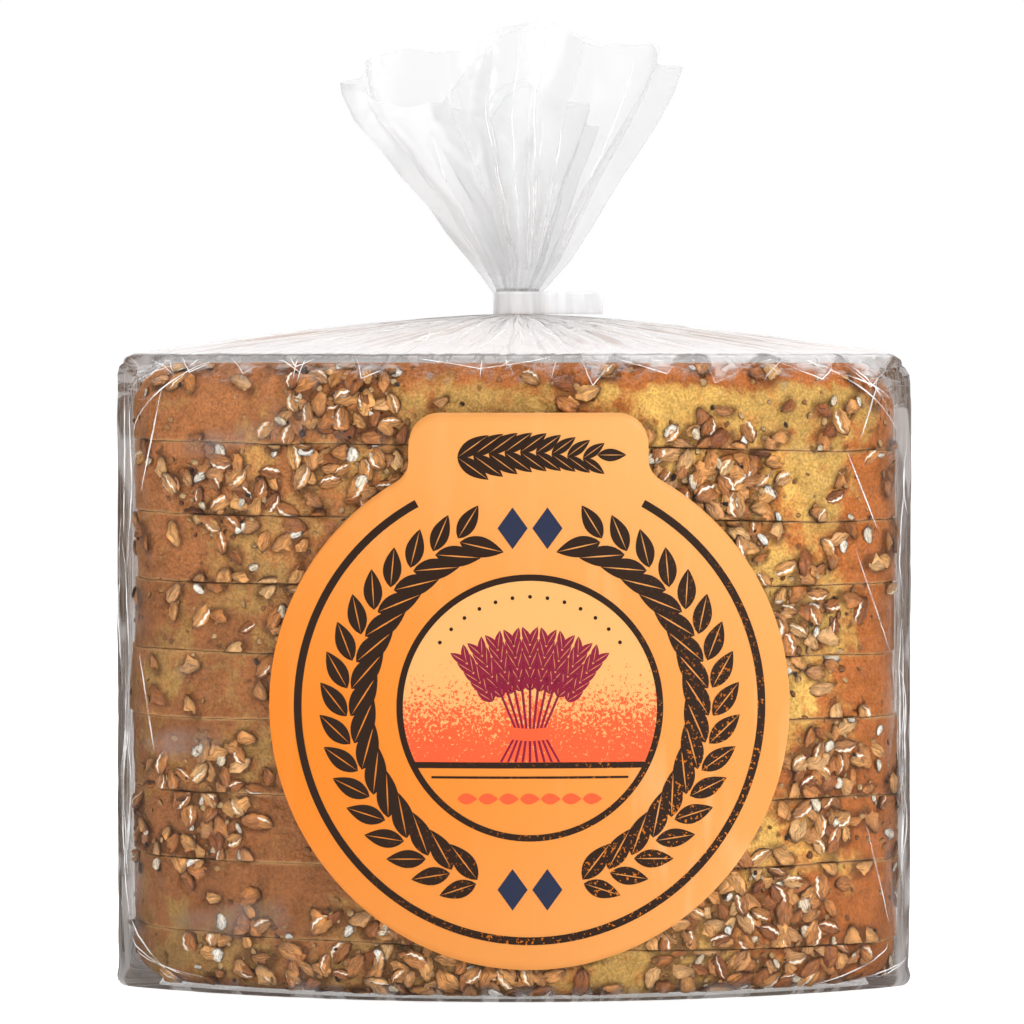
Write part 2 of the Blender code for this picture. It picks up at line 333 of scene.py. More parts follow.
def hold(mesh: bpy.types.Mesh, traits: dict[str, np.ndarray]) -> None:
    """Stores numbers at a mesh's points, each row of them under its name."""
    for name, values in traits.items():
        held = mesh.attributes.new(name, "FLOAT", "POINT")
        held.data.foreach_set("value", np.asarray(values, np.float32))


def places_of(piece: bpy.types.Object) -> np.ndarray:
    """The points of a piece, one row each."""
    flat = np.empty(len(piece.data.vertices) * 3, np.float32)
    piece.data.vertices.foreach_get("co", flat)
    return flat.reshape(-1, 3)


def piece_from(
    name: str,
    points: np.ndarray,
    faces: Iterable[Sequence[int]],
    material: bpy.types.Material,
    traits: dict[str, np.ndarray] | None = None,
) -> bpy.types.Object:
    """Makes a smooth mesh piece at the origin.

    Args:
        name: The piece's name.
        points: Its points, one row each.
        faces: Its faces, as rows of point numbers.
        material: Its finish.
        traits: Numbers that each point holds.

    Returns:
        The new object.
    """
    mesh = bpy.data.meshes.new(name)
    mesh.from_pydata(points.tolist(), [], [tuple(map(int, face)) for face in faces])
    hold(mesh, traits or {})
    mesh.materials.append(material)
    mesh.shade_smooth()
    mesh.update()
    return shown(mesh, name)


def tube_faces(rings: int, around: int, first: int = 0) -> np.ndarray:
    """Faces that join closed rings of points, laid one after another.

    Args:
        rings: How many rings there are.
        around: How many points a ring has.
        first: The number of the first point.

    Returns:
        One row of four point numbers for each face.
    """
    ring = np.arange(around)
    following = (ring + 1) % around
    quads = np.stack([ring, following, around + following, around + ring], 1)
    return np.concatenate([first + low * around + quads for low in range(rings - 1)])


def strip_faces(count: int, first: int = 0) -> np.ndarray:
    """Faces between two rows of points, the second row following the first."""
    step = first + np.arange(count - 1)
    return np.stack([step, step + 1, step + count + 1, step + count], 1)


def fan_faces(start: int, around: int, tip: int, upward: bool) -> np.ndarray:
    """Faces that close a ring of points with one middle point, facing up or down."""
    ring = start + np.arange(around)
    return np.stack([*(ring, np.roll(ring, -1))[:: 1 if upward else -1], np.full(around, tip)], 1)


def capped_faces(rings: int, around: int) -> list[list[int]]:
    """Faces of a closed body whose two middle points follow its rings."""
    count = rings * around
    faces = tube_faces(rings, around).tolist() + fan_faces(0, around, count, False).tolist()
    return faces + fan_faces(count - around, around, count + 1, True).tolist()


def hand_over(piece: bpy.types.Object, slot: str, *nodes: str) -> None:
    """Makes a finished piece part of the pack and reports it.

    Args:
        piece: The finished object.
        slot: The record's material slot; not used.
        *nodes: The solids that it stands for.
    """
    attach(piece, "root")
    if nodes:
        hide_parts(*nodes)
    LOG.info("%s: %d faces", piece.name, len(piece.data.polygons))


class Tool:
    """A Geometry Nodes tree that turns a base mesh into a piece, by named inputs."""

    def __init__(self, name: str, inputs: dict[str, str]) -> None:
        """Starts the tree.

        Args:
            name: The tree's name.
            inputs: The kind of each input besides the base mesh and the finish.
        """
        self.tree = bpy.data.node_groups.new(name, "GeometryNodeTree")
        self.tree.is_modifier = True
        self.sockets = {}
        face = self.tree.interface
        for title, kind in ({"Base": "Geometry"} | inputs | {"Finish": "Material"}).items():
            made = face.new_socket(title, in_out="INPUT", socket_type=f"NodeSocket{kind}")
            self.sockets[title] = made.identifier
        face.new_socket("Piece", in_out="OUTPUT", socket_type="NodeSocketGeometry")
        self.sheet = Sheet(self.tree)
        given = self.tree.nodes.new("NodeGroupInput").outputs
        self.given = {socket.name: Wire(self.sheet, socket) for socket in given}

    def held(self, name: str) -> Wire:
        """A number that the mesh holds at each point."""
        return self.sheet.add("GeometryNodeInputNamedAttribute", {"Name": name}, data_type="FLOAT")

    def object_of(self, title: str) -> Wire:
        """The shape of the object that an input names."""
        return self.sheet.add("GeometryNodeObjectInfo", {"Object": self.given[title]}, "Geometry")

    def close(self, geometry: Wire, place: Wire | None = None) -> None:
        """Ends the tree: real geometry, moved where that is asked for, and dressed.

        Args:
            geometry: What the tree has made.
            place: Where each point goes, if it moves.
        """
        made = self.sheet.add("GeometryNodeRealizeInstances", {"Geometry": geometry})
        if place is not None:
            made = self.sheet.add("GeometryNodeSetPosition", {"Geometry": made, "Position": place})
        feeds = {"Geometry": made, "Material": self.given["Finish"]}
        self.sheet.add("NodeGroupOutput", {"Piece": self.sheet.add("GeometryNodeSetMaterial", feeds)})

    def make(self, name: str, mesh: bpy.types.Mesh, values: dict[str, Any]) -> bpy.types.Object:
        """Runs the tree once and keeps what it makes as a plain mesh.

        Args:
            name: The new piece's name.
            mesh: The base mesh.
            values: What the named inputs get; objects among them are used up.

        Returns:
            The piece.
        """
        carrier = shown(mesh, f"{name}_carrier")
        modifier = carrier.modifiers.new("tool", "NODES")
        modifier.node_group = self.tree
        for title, value in values.items():
            modifier[self.sockets[title]] = value
        carrier.update_tag()
        bpy.context.view_layer.update()
        made = bpy.data.meshes.new_from_object(carrier.evaluated_get(bpy.context.evaluated_depsgraph_get()))
        made.name = name
        made.shade_smooth()
        for used in [carrier] + [v for v in values.values() if isinstance(v, bpy.types.Object)]:
            bpy.data.objects.remove(used, do_unlink=True)
        return shown(made, name)


@dataclass(frozen=True)
class Outline:
    """A ring seen from above: a domed front, flat sides and a flat back."""

    half_width: float
    front: float
    back: float
    crown_radius: float
    sharpness: float

    @property
    def middle(self) -> float:
        """Where the ring's middle lies between front and back."""
        return (self.front + self.back) / 2.0

    def reach(self, angles: np.ndarray) -> np.ndarray:
        """How far the ring lies from its middle.

        Args:
            angles: Directions, counted from +X towards the back.

        Returns:
            The distance in each direction.
        """
        along, across = np.cos(angles), np.sin(angles)
        offset = self.crown_radius - (self.middle - self.front)
        crown = offset * across + np.sqrt((offset * across) ** 2 + self.crown_radius**2 - offset**2)
        side = self.half_width / np.maximum(np.abs(along), 1e-6)
        rear = (self.back - self.middle) / np.maximum(across, 1e-6)
        rear = np.where(across > 0.0, rear, 1e6)
        power = -self.sharpness
        return (crown**power + side**power + rear**power) ** (1.0 / power)

    def spread(self, count: int, front_share: float) -> np.ndarray:
        """Directions spaced evenly along the ring, but closer together at the front.

        Args:
            count: How many there are.
            front_share: How much further apart they are at the back, at most.

        Returns:
            The directions, from the middle of the back round by the left.
        """
        dense = np.linspace(0.5 * math.pi, 2.5 * math.pi, 6001)
        reach = self.reach(dense)
        places = np.stack([reach * np.cos(dense), reach * np.sin(dense)], 1)
        steps = np.linalg.norm(np.diff(places, axis=0), axis=1)
        facing = ease(-0.2, 0.55, np.sin(0.5 * (dense[1:] + dense[:-1])))
        weight = steps * (1.0 - (1.0 - front_share) * facing)
        total = np.concatenate([[0.0], np.cumsum(weight)])
        return np.interp(np.arange(count) / count * total[-1], total, dense)

    def ring(
        self, angles: np.ndarray, inset: np.ndarray | float, height: np.ndarray | float
    ) -> np.ndarray:
        """One level of the ring, or points on several levels.

        Args:
            angles: Directions of its points.
            inset: How far each point is drawn in.
            height: How high the points lie.

        Returns:
            The points, one row each.
        """
        reach = np.maximum(self.reach(angles) - inset, 0.0)
        level = np.zeros(len(angles)) + height
        return np.stack([reach * np.cos(angles), self.middle + reach * np.sin(angles), level], 1)


@dataclass(frozen=True)
class Pack:
    """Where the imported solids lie, and the sizes that they share."""

    bag_low: Vector
    bag_high: Vector
    label_low: Vector
    label_high: Vector
    tape_low: Vector
    tape_high: Vector
    block_height: float = 112.0 * MM
    crown_radius: float = 120.0 * MM
    neck_x: float = 0.7 * MM
    neck_radius: float = 4.0 * MM

    @classmethod
    def measured(cls) -> "Pack":
        """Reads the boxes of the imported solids."""
        return cls(*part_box("sealed_bag"), *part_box("label"), *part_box("neck_tape"))

    @property
    def block(self) -> Outline:
        """The outline of the block that the bag makes."""
        return Outline(self.bag_high.x, self.bag_low.y, self.bag_high.y, self.crown_radius, 150.0)

    @property
    def crown_centre(self) -> float:
        """Where the middle of the domed front's arc lies."""
        return self.bag_low.y + self.crown_radius


@dataclass(frozen=True)
class CrustFinish:
    """Baked crust: golden, rust-brown where it caught, and crumb where it is cut, with painted shade over
    the left half and between large grains.
    """

    golden: Colour = display(228, 178, 92)
    olive: Colour = display(196, 154, 82)
    caught: Colour = display(172, 98, 44)
    # Painted shade over the left half.
    shaded_left: Colour = display(148, 102, 64)
    even: Colour = display(186, 134, 84)
    deep: Colour = display(156, 102, 60)
    crumb: Colour = display(196, 152, 100)
    # Colour of the real pits, and of the painted shade between large grains.
    pit_and_shade: Colour = display(82, 44, 16)
    relief: float = 0.85 * MM

    def material(self) -> bpy.types.Material:
        """The finish of the slices."""
        paint = Paint("baked_crust")
        x, y, z = paint.split(paint.where)
        blotch, patch = paint.noise(70.0, 4.0, 0.62, bent=0.5), paint.noise(27.0, 2.0, 0.55, bent=0.4)
        mottle, speck = paint.noise(170.0, 3.0, 0.65), paint.noise(450.0, 2.0, 0.62)
        fine, lumps = paint.noise(2200.0, 1.0, 0.6), paint.noise(210.0, 2.0)
        left = paint.band(x, 30.0 * MM, -45.0 * MM)
        zone = paint.band(x, 50.0 * MM, 68.0 * MM) + paint.band(z, 104.0 * MM, 110.0 * MM) + left * 0.35
        heat = blotch * 0.42 + patch * 0.33 + mottle * 0.25 + speck * 0.14 + zone * 0.17
        base = paint.mix(paint.band(patch, 0.4, 0.56), self.olive, self.golden)
        base = paint.mix(paint.band(heat, 0.545, 0.665), base, self.caught)
        # Painted shade and painted film reflection: the left half is mixed towards a duller, darker colour;
        # the zone above also pushes the left towards caught brown for the same reason.
        base = paint.mix(left * 0.5, base, self.shaded_left)
        base = paint.mix(paint.band(speck, 0.6, 0.76, (0.0, 0.5)), base, self.caught)
        tin = paint.mix(paint.band(blotch, 0.35, 0.68), self.even, self.deep)
        base = paint.mix(paint.band(y, -38.0 * MM, -14.0 * MM), base, tin)
        upper_left = left * paint.band(z, 50.0 * MM, 98.0 * MM, (-0.14, 0.2)) + 1.0
        shade = paint.band(fine, 0.28, 0.72, (0.76, 1.2)) * paint.band(mottle, 0.3, 0.7, (0.84, 1.14))
        base = paint.shaded(base, shade * upper_left * paint.trait("tone"))
        pores = paint.band(paint.cells(520.0), 0.28, 0.12) * 0.5
        base = paint.mix(paint.trait("cut"), base, paint.mix(pores, self.crumb, self.caught))
        pits = paint.band(paint.noise(300.0, 1.0), 0.31, 0.23) * 0.75
        # Painted shade: the crust darkens towards the pit colour where large grains stand close, besides
        # the real pits.
        base = paint.mix(pits.most(paint.trait("nook_shade") * 0.76), base, self.pit_and_shade)
        normal = paint.bump(fine * 0.35 + speck + lumps * 3.0, self.relief)
        return paint.done(
            paint.body(Base_Color=base, Roughness=0.6, Specular_IOR_Level=0.18, Normal=normal, IOR=1.45)
        )


@dataclass
class Loaf:
    """The stack of slices inside the bag, each a wall of crust with two cut faces."""

    pack: Pack
    slices: int = 9
    pitch: float = 12.1 * MM
    base: float = 0.9 * MM
    top: float = 110.6 * MM
    gap: float = 0.06 * MM
    left_cuts: tuple[float, ...] = (10.9, 23.8, 35.6, 48.3, 60.1, 72.3, 84.3, 97.0)
    right_cuts: tuple[float, ...] = (7.9, 22.5, 34.0, 48.1, 59.2, 71.8, 82.9, 95.2)
    half_width: float = 68.6 * MM
    front_gap: float = 1.35 * MM
    back_gap: float = 1.3 * MM
    around: int = 560
    edge: float = 0.32 * MM
    end_rounding: float = 4.0 * MM
    end_rounding_side: float = 8.5 * MM
    clusters: tuple[tuple[float, float, float], ...] = (
        (34.0, 88.0, 17.0),
        (-12.0, 7.0, 26.0),
        (42.0, 9.0, 24.0),
        (-52.0, 88.0, 12.0),
        (50.0, 64.0, 14.0),
        (-30.0, 101.0, 15.0),
        (-58.0, 30.0, 15.0),
        (58.0, 36.0, 14.0),
    )
    made: list[bpy.types.Object] = field(default_factory=list)
    FACE_RINGS: ClassVar[tuple[float, ...]] = (0.02, 0.25, 0.5, 0.75, 0.9)
    EDGE_ROWS: ClassVar[tuple[Point, ...]] = (
        (0.0, 1.0, 1.0),
        (0.08, 0.5, 0.85),
        (0.2, 0.16, 0.4),
        (0.5, 0.0, 0.0),
    )
    relief: Relief = field(default_factory=lambda: Relief(3))
    material: bpy.types.Material = field(default_factory=lambda: CrustFinish().material())

    @property
    def outline(self) -> Outline:
        """The loaf's outline seen from above."""
        pack = self.pack
        return Outline(
            self.half_width,
            pack.bag_low.y + self.front_gap,
            pack.bag_high.y - self.back_gap,
            pack.crown_radius - self.front_gap,
            17.0,
        )

    def wall_rows(self, number: int) -> list[tuple[float, float, float]]:
        """The levels of one slice's wall.

        Args:
            number: Which slice, counted from the bottom.

        Returns:
            For each level its height, its inset as a share of the edge's, and how much
            crumb shows there.
        """
        low = self.base + number * self.pitch + self.gap / 2
        high = low + self.pitch - self.gap
        start, reach, steps = low + 0.5 * MM, self.pitch - 1.06 * MM, 13
        rows = [(low + rise * MM, -inset, cut) for rise, inset, cut in self.EDGE_ROWS]
        rows += [(start + reach * step / steps, 0.0, 0.0) for step in range(1, steps)]
        return rows + [(high - rise * MM, -inset, cut) for rise, inset, cut in reversed(self.EDGE_ROWS)]

    def cut_level(self, number: int, points: np.ndarray) -> np.ndarray:
        """How high a cut lies at some points; the knife went a little askew.

        Args:
            number: Which cut, with 0 and the last one being the loaf's ends.
            points: The places.

        Returns:
            The heights.
        """
        if number == 0:
            return np.full(len(points), self.base)
        if number == self.slices:
            return np.full(len(points), self.top)
        left, right = self.left_cuts[number - 1], self.right_cuts[number - 1]
        across = (points[:, 0] / self.half_width + 1.0) / 2.0
        flat = np.column_stack([points[:, :2], np.full(len(points), number * 11 * MM)])
        ragged = 0.3 * self.relief.at(flat, 14 * MM) + 0.12 * self.relief.at(flat, 3 * MM)
        return (left + (right - left) * across + ragged) * MM

    def end_inset(self, angles: np.ndarray, depth: float) -> np.ndarray:
        """How far the baked end is drawn in, at a depth below its face."""
        radius = self.end_rounding + (self.end_rounding_side - self.end_rounding) * np.cos(angles) ** 2
        return radius * (1.0 - np.sqrt(1.0 - np.clip(1.0 - depth / radius, 0.0, 1.0) ** 2))

    def slice_points(self, number: int) -> tuple[np.ndarray, np.ndarray, int]:
        """The points of one slice.

        Args:
            number: Which slice, counted from the bottom.

        Returns:
            Its points with the two middle points last, how much crumb shows at each, and
            how many rings they make.
        """
        angles = self.outline.spread(self.around, 0.45)
        rows = self.wall_rows(number)
        low, high = rows[0][0], rows[-1][0]
        bottom, top = number == 0, number == self.slices - 1
        crumb = [float(not bottom), float(not top)]
        ceiling = self.base + self.slices * self.pitch
        rings = [(low, share, crumb[0], True) for share in self.FACE_RINGS]
        for height, inset, cut in rows:
            baked = (bottom and height < low + 2 * MM) or (top and height > high - 2 * MM)
            rings.append((height, inset, 0.0 if baked else cut, False))
        rings += [(high, share, crumb[1], True) for share in reversed(self.FACE_RINGS)]
        points = []
        for height, inset, cut, is_face in rings:
            drawn = np.full(len(angles), self.edge if is_face else -inset * self.edge)
            if bottom:
                drawn = np.maximum(drawn, 0.7 * self.end_inset(angles, height - self.base))
            if top:
                drawn = np.maximum(drawn, self.end_inset(angles, ceiling - height))
            ring = self.outline.ring(angles, drawn, height)
            ring += self.bulge(ring, angles, 0.0 if is_face else 1.0 - 0.7 * cut)
            if is_face:
                middle = np.array([0.0, self.outline.middle, height])
                ring = middle + (ring - middle) * np.array([inset, inset, 1.0])
            points.append(ring)
        ends = [[[0.0, self.outline.middle, level]] for level in (low, high)]
        joined = np.concatenate(points + ends)
        below = self.cut_level(number, joined) + self.gap / 2
        above = self.cut_level(number + 1, joined) - self.gap / 2
        joined[:, 2] = below + (joined[:, 2] - low) / (high - low) * (above - below)
        return joined, np.append(np.repeat([ring[2] for ring in rings], self.around), crumb), len(rings)

    def bulge(self, ring: np.ndarray, angles: np.ndarray, share: float) -> np.ndarray:
        """How far the crust swells in and out, as steps outwards or inwards.

        Args:
            ring: The level's points.
            angles: Their directions.
            share: How much of the finer relief there is.

        Returns:
            The step of each point.
        """
        broad = self.relief.at(ring, 26 * MM) * 0.45
        knobs = self.relief.at(ring + 0.31, 6 * MM) * 0.42 + self.relief.at(ring + 0.73, 2.6 * MM) * 0.2
        step = (broad + knobs * share) * MM - 0.25 * MM
        out = np.stack([np.cos(angles), np.sin(angles), np.zeros(len(angles))], 1)
        return out * step[:, None]

    def shift(self, number: int) -> np.ndarray:
        """How far one slice lies off the stack's middle."""
        draw = np.random.default_rng(40 + number)
        return np.array([draw.uniform(-0.45, 0.45), draw.uniform(-0.05, 0.4), 0.0]) * MM

    def build(self) -> bpy.types.Object:
        """Makes every slice.

        Returns:
            A joined copy of the front walls, which the grains are strewn on.
        """
        walls, skin_faces, lows, highs = [], [], [], []
        start, first = len(self.FACE_RINGS) * self.around, 0
        for number in range(self.slices):
            points, cuts, rings = self.slice_points(number)
            points = points + self.shift(number)
            count = len(points)
            tone = np.full(count, np.random.default_rng(70 + number).uniform(0.9, 1.08))
            name, faces = f"slice_{number + 1}", capped_faces(rings, self.around)
            self.made.append(piece_from(name, points, faces, self.material, {"cut": cuts, "tone": tone}))
            wall = points[start : count - 2 - start]
            skin_faces += tube_faces(len(wall) // self.around, self.around, first).tolist()
            first += len(wall)
            walls.append(wall)
            lows.append(self.cut_level(number, wall) + 0.12 * MM)
            highs.append(self.cut_level(number + 1, wall) - 0.12 * MM)
        joined = np.concatenate(walls)
        traits = {"low": np.concatenate(lows), "high": np.concatenate(highs), "cover": self.cover(joined)}
        return piece_from("crust_skin", joined, skin_faces, self.material, traits)

    def shade_nooks(self, grains: bpy.types.Object) -> None:
        """Paints shade on the crust where large grains stand close together, and hands the slices over.

        Args:
            grains: The piece whose grains throw the shade.
        """
        spots = places_of(grains)
        cell, reach = 0.5 * MM, 80 * MM
        size = int(2 * reach / cell)
        window = [[-reach, reach], [-reach / 4, 7 * reach / 4]]
        count, _, _ = np.histogram2d(spots[:, 0], spots[:, 2], bins=size, range=window)
        filled = np.minimum(count, 3.0) / 3.0
        for _ in range(3):
            near = [np.roll(filled, step, axis) for axis in (0, 1) for step in (1, -1)]
            filled = (2 * filled + near[0] + near[1] + near[2] + near[3]) / 6
        for piece in self.made:
            places = places_of(piece)
            column = np.clip(((places[:, 0] + reach) / cell).astype(int), 0, size - 1)
            row = np.clip(((places[:, 2] + reach / 4) / cell).astype(int), 0, size - 1)
            facing = ease(self.outline.front + 45 * MM, self.outline.front + 30 * MM, places[:, 1])
            hold(piece.data, {"nook_shade": ease(0.03, 0.5, filled[column, row]) * facing})
            hand_over(piece, "bread_crust")

    def cover(self, points: np.ndarray) -> np.ndarray:
        """How thickly grains lie on the crust, from 0 to 1.

        Args:
            points: Places on the crust.

        Returns:
            The share at each place.
        """
        pack = self.pack
        domed = ease(pack.bag_low.y + 42 * MM, pack.bag_low.y + 22 * MM, points[:, 1])
        centre = (pack.label_low + pack.label_high) / 2
        radius = (pack.label_high.x - pack.label_low.x) / 2
        label_z = pack.label_low.z + radius
        away = np.hypot(points[:, 0] - centre.x, points[:, 2] - label_z)
        bare = ease(radius - 7 * MM, radius - 3 * MM, away)
        patches = 0.05 + 0.4 * ease(0.35, 0.75, 0.5 + 0.5 * self.relief.at(points + 0.17, 15 * MM))
        for x, z, size in self.clusters:
            away = np.hypot(points[:, 0] - x * MM, points[:, 2] - z * MM)
            patches = patches + 0.8 * ease(size * MM, size * MM * 0.4, away)
        sides = 1.0 - 0.6 * ease(50 * MM, 66 * MM, np.abs(points[:, 0]))
        return np.clip(domed * bare * patches * sides, 0.0, 1.0)


@dataclass(frozen=True)
class GrainFinish:
    """The skins and broken insides of the strewn grains, with painted shade on their undersides."""

    name: str
    skins: tuple[Colour, ...]
    inside: Colour = display(248, 238, 220)
    under: Colour = display(78, 40, 14)
    # Painted shade on the grains' undersides.
    split_share: float = 0.0
    roughness: float = 0.3
    relief: float = 0.45 * MM

    def material(self) -> bpy.types.Material:
        """The finish of one kind of grain."""
        paint = Paint(self.name)
        husk = paint.noise(1.0, 3.0, 0.6, paint.held_place(along=2.6, side=5.5, tint=90.0), 0.5)
        shade = paint.band(husk, 0.32, 0.68, (0.56, 1.36))
        skin = paint.shaded(paint.ramp(paint.trait("tint"), self.skins), shade)
        # Painted shade: each grain darkens towards its underside.
        skin = paint.mix(paint.band(paint.trait("up"), 0.52, 0.0) * 0.9, skin, self.under)
        if self.split_share > 0.0:
            broken = paint.trait("split").past(1.0 - self.split_share)
            slit = paint.band(paint.trait("pale") + husk * 0.4, 0.78, 0.88)
            skin = paint.mix(broken * slit, skin, self.inside)
        feeds = {"Base_Color": skin, "Roughness": self.roughness, "Specular_IOR_Level": 0.4, "IOR": 1.45}
        normal = paint.bump(paint.noise(1500.0, 2.0, 0.6) * 0.4 + husk, self.relief)
        return paint.done(paint.body(Normal=normal, **feeds))


class GrainShape(Enum):
    """A grain's rings, points in a ring, width, height, bluntness and crease."""

    KERNEL = (9, 10, 0.5, 0.44, 0.7, 0.1)
    SPLIT = (9, 12, 0.52, 0.42, 0.7, 0.12)
    FLAKE = (6, 7, 0.62, 0.16, 0.55, 0.02)
    BEAD = (4, 6, 0.66, 0.58, 0.8, 0.0)
    CHIP = (3, 5, 0.75, 0.42, 0.6, 0.0)


@dataclass(frozen=True)
class Grain:
    """One kind of grain and how it lies.

    Its length and spacing are in millimetres, its density counts grains on a square metre,
    and its sink and tilt say how deep and how askew it lies.
    """

    name: str
    shape: GrainShape
    finish: GrainFinish
    length: tuple[float, float]
    spacing: float
    density: float
    sink: float
    tilt: float
    seed: int

    def template(self) -> bpy.types.Object:
        """A closed grain of unit length that lies along X with Z up, made of rings."""
        bands, sides, width, height, blunt, crease = self.shape.value
        draw = np.random.default_rng(self.seed)
        turn = np.linspace(0.0, math.tau, sides, endpoint=False)
        groove = np.exp(-((turn - 0.5 * math.pi) ** 2) / 0.18)
        slit = np.exp(-((turn - 1.15) ** 2) / 0.09)
        rings, held = [], {"pale": [], "up": [], "side": [], "along": []}
        for band in range(1, bands + 1):
            along = band / (bands + 1)
            full = math.sin(math.pi * along)
            girth = full**blunt
            y = 0.5 * width * girth * np.cos(turn) + 0.05 * draw.uniform(-1.0, 1.0, sides) * girth
            z = 0.5 * height * girth * np.sin(turn) - crease * girth * groove
            z = z + 0.04 * draw.uniform(-1.0, 1.0, sides) * girth
            rings.append(np.stack([np.full(sides, along - 0.5), y + 0.08 * full, z], 1))
            held["pale"].append(slit * full**0.3)
            held["up"].append(z / (0.5 * height))
            held["side"].append(np.sin(turn) + 0.7 * np.cos(turn))
            held["along"].append(np.full(sides, along))
        tips = {name: [0.0, float(name == "along")] for name in held}
        traits = {name: np.concatenate(rows + [tips[name]]) for name, rows in held.items()}
        points = np.concatenate(rings + [[[-0.5, 0.0, 0.0], [0.5, 0.0, 0.0]]])
        faces, material = capped_faces(bands, sides), self.finish.material()
        return piece_from(f"{self.name}_template", points, faces, material, traits)


class Strewer(Tool):
    """Strews grains on the crust; each kind sets the inputs."""

    def __init__(self) -> None:
        """Builds the tree: scatter, turn, size, instance, sink, and trim at the slice's cuts."""
        sizes = ("Shortest", "Longest", "Spacing", "Density", "Sink", "Tilt")
        super().__init__("strew_grains", {"Grain": "Object", "Seed": "Int"} | dict.fromkeys(sizes, "Float"))
        sheet, given = self.sheet, self.given
        feeds = {
            "Mesh": given["Base"],
            "Distance Min": given["Spacing"],
            "Density Max": given["Density"],
            "Density Factor": self.held("cover"),
            "Seed": given["Seed"],
        }
        spots = sheet.add("GeometryNodeDistributePointsOnFaces", feeds, distribute_method="POISSON")
        length = self.drawn(given["Shortest"], given["Longest"], 1)
        tilt, lean = given["Tilt"], given["Tilt"] * -1.0
        leans = [self.drawn(lean, tilt, salt) for salt in (2, 3)]
        euler = {"Euler": sheet.join(*leans, self.drawn(0.0, math.tau, 4))}
        by = sheet.add("FunctionNodeEulerToRotation", euler)
        feeds = {"Rotation": spots.beside("Rotation"), "Rotate By": by}
        turned = sheet.add("FunctionNodeRotateRotation", feeds, rotation_space="LOCAL")
        girth = length * self.drawn(0.82, 1.2, 5)
        feeds = {
            "Points": self.marked("tint", spots, 6, "POINT"),
            "Instance": self.object_of("Grain"),
            "Rotation": turned,
            "Scale": sheet.join(length, girth, girth),
        }
        laid = self.marked("split", sheet.add("GeometryNodeInstanceOnPoints", feeds), 7, "INSTANCE")
        feeds = {"Vector": spots.beside("Normal"), "Scale": given["Sink"] * length * -1.0}
        inward = sheet.add("ShaderNodeVectorMath", feeds, operation="SCALE")
        feeds = {"Instances": laid, "Translation": inward, "Local Space": False}
        sunk = sheet.add("GeometryNodeTranslateInstances", feeds)
        x, y, z = sheet.split(sheet.add("GeometryNodeInputPosition"))
        self.close(sunk, sheet.join(x, y, z.most(self.held("low")).least(self.held("high"))))

    def drawn(self, low: Any, high: Any, salt: int) -> Wire:
        """A random number for each grain, between low and high."""
        feeds = {"Min": low, "Max": high, "Seed": self.given["Seed"] + float(salt)}
        return self.sheet.add("FunctionNodeRandomValue", feeds, data_type="FLOAT")

    def marked(self, name: str, geometry: Wire, salt: int, domain: str) -> Wire:
        """Geometry of which each part holds a random share under a name."""
        feeds = {"Geometry": geometry, "Name": name, "Value": self.drawn(0.0, 1.0, salt)}
        return self.sheet.add("GeometryNodeStoreNamedAttribute", feeds, data_type="FLOAT", domain=domain)

    def strew(self, crust: bpy.types.Object, grain: Grain) -> bpy.types.Object:
        """Strews one kind of grain on the crust.

        Args:
            crust: The surface that the grains lie on.
            grain: The kind of grain.

        Returns:
            The finished piece.
        """
        template = grain.template()
        values = {
            "Grain": template,
            "Finish": template.data.materials[0],
            "Shortest": grain.length[0] * MM,
            "Longest": grain.length[1] * MM,
            "Spacing": grain.spacing * MM,
            "Density": grain.density,
            "Sink": grain.sink,
            "Tilt": grain.tilt,
            "Seed": grain.seed,
        }
        piece = self.make(grain.name, crust.data, values)
        hand_over(piece, "bread_crust")
        return piece


def bakery_grains() -> list[Grain]:
    """The kinds of grain on the crust, the largest first."""
    brown, tan, wheat = display(140, 78, 36), display(198, 128, 66), display(220, 160, 94)
    browns = (brown, tan, wheat, display(168, 102, 52), display(226, 176, 116))
    oats = (display(232, 212, 180), display(252, 248, 238), display(224, 200, 164))
    brans = (display(124, 72, 36), display(186, 132, 76), display(216, 178, 126))
    husk = GrainFinish("kernel_skin", browns)
    broken = GrainFinish("broken_kernel", browns, split_share=0.75)
    oat = GrainFinish("oat_flake", oats, roughness=0.6)
    seed = GrainFinish("black_seed", (display(40, 30, 26), display(74, 58, 46)))
    bran = GrainFinish("bran", brans, roughness=0.6)
    shape = GrainShape
    return [
        Grain("kernels", shape.KERNEL, husk, (3.9, 6.1), 2.7, 800000.0, 0.06, 0.34, 11),
        Grain("split_kernels", shape.SPLIT, broken, (4.0, 6.0), 3.2, 330000.0, 0.0, 0.34, 15),
        Grain("oat_flakes", shape.FLAKE, oat, (1.6, 3.6), 4.6, 110000.0, -0.14, 0.45, 12),
        Grain("black_seeds", shape.BEAD, seed, (1.0, 1.6), 4.6, 30000.0, -0.2, 0.4, 13),
        Grain("bran_chips", shape.CHIP, bran, (0.8, 1.9), 1.5, 500000.0, 0.0, 0.5, 14),
    ]


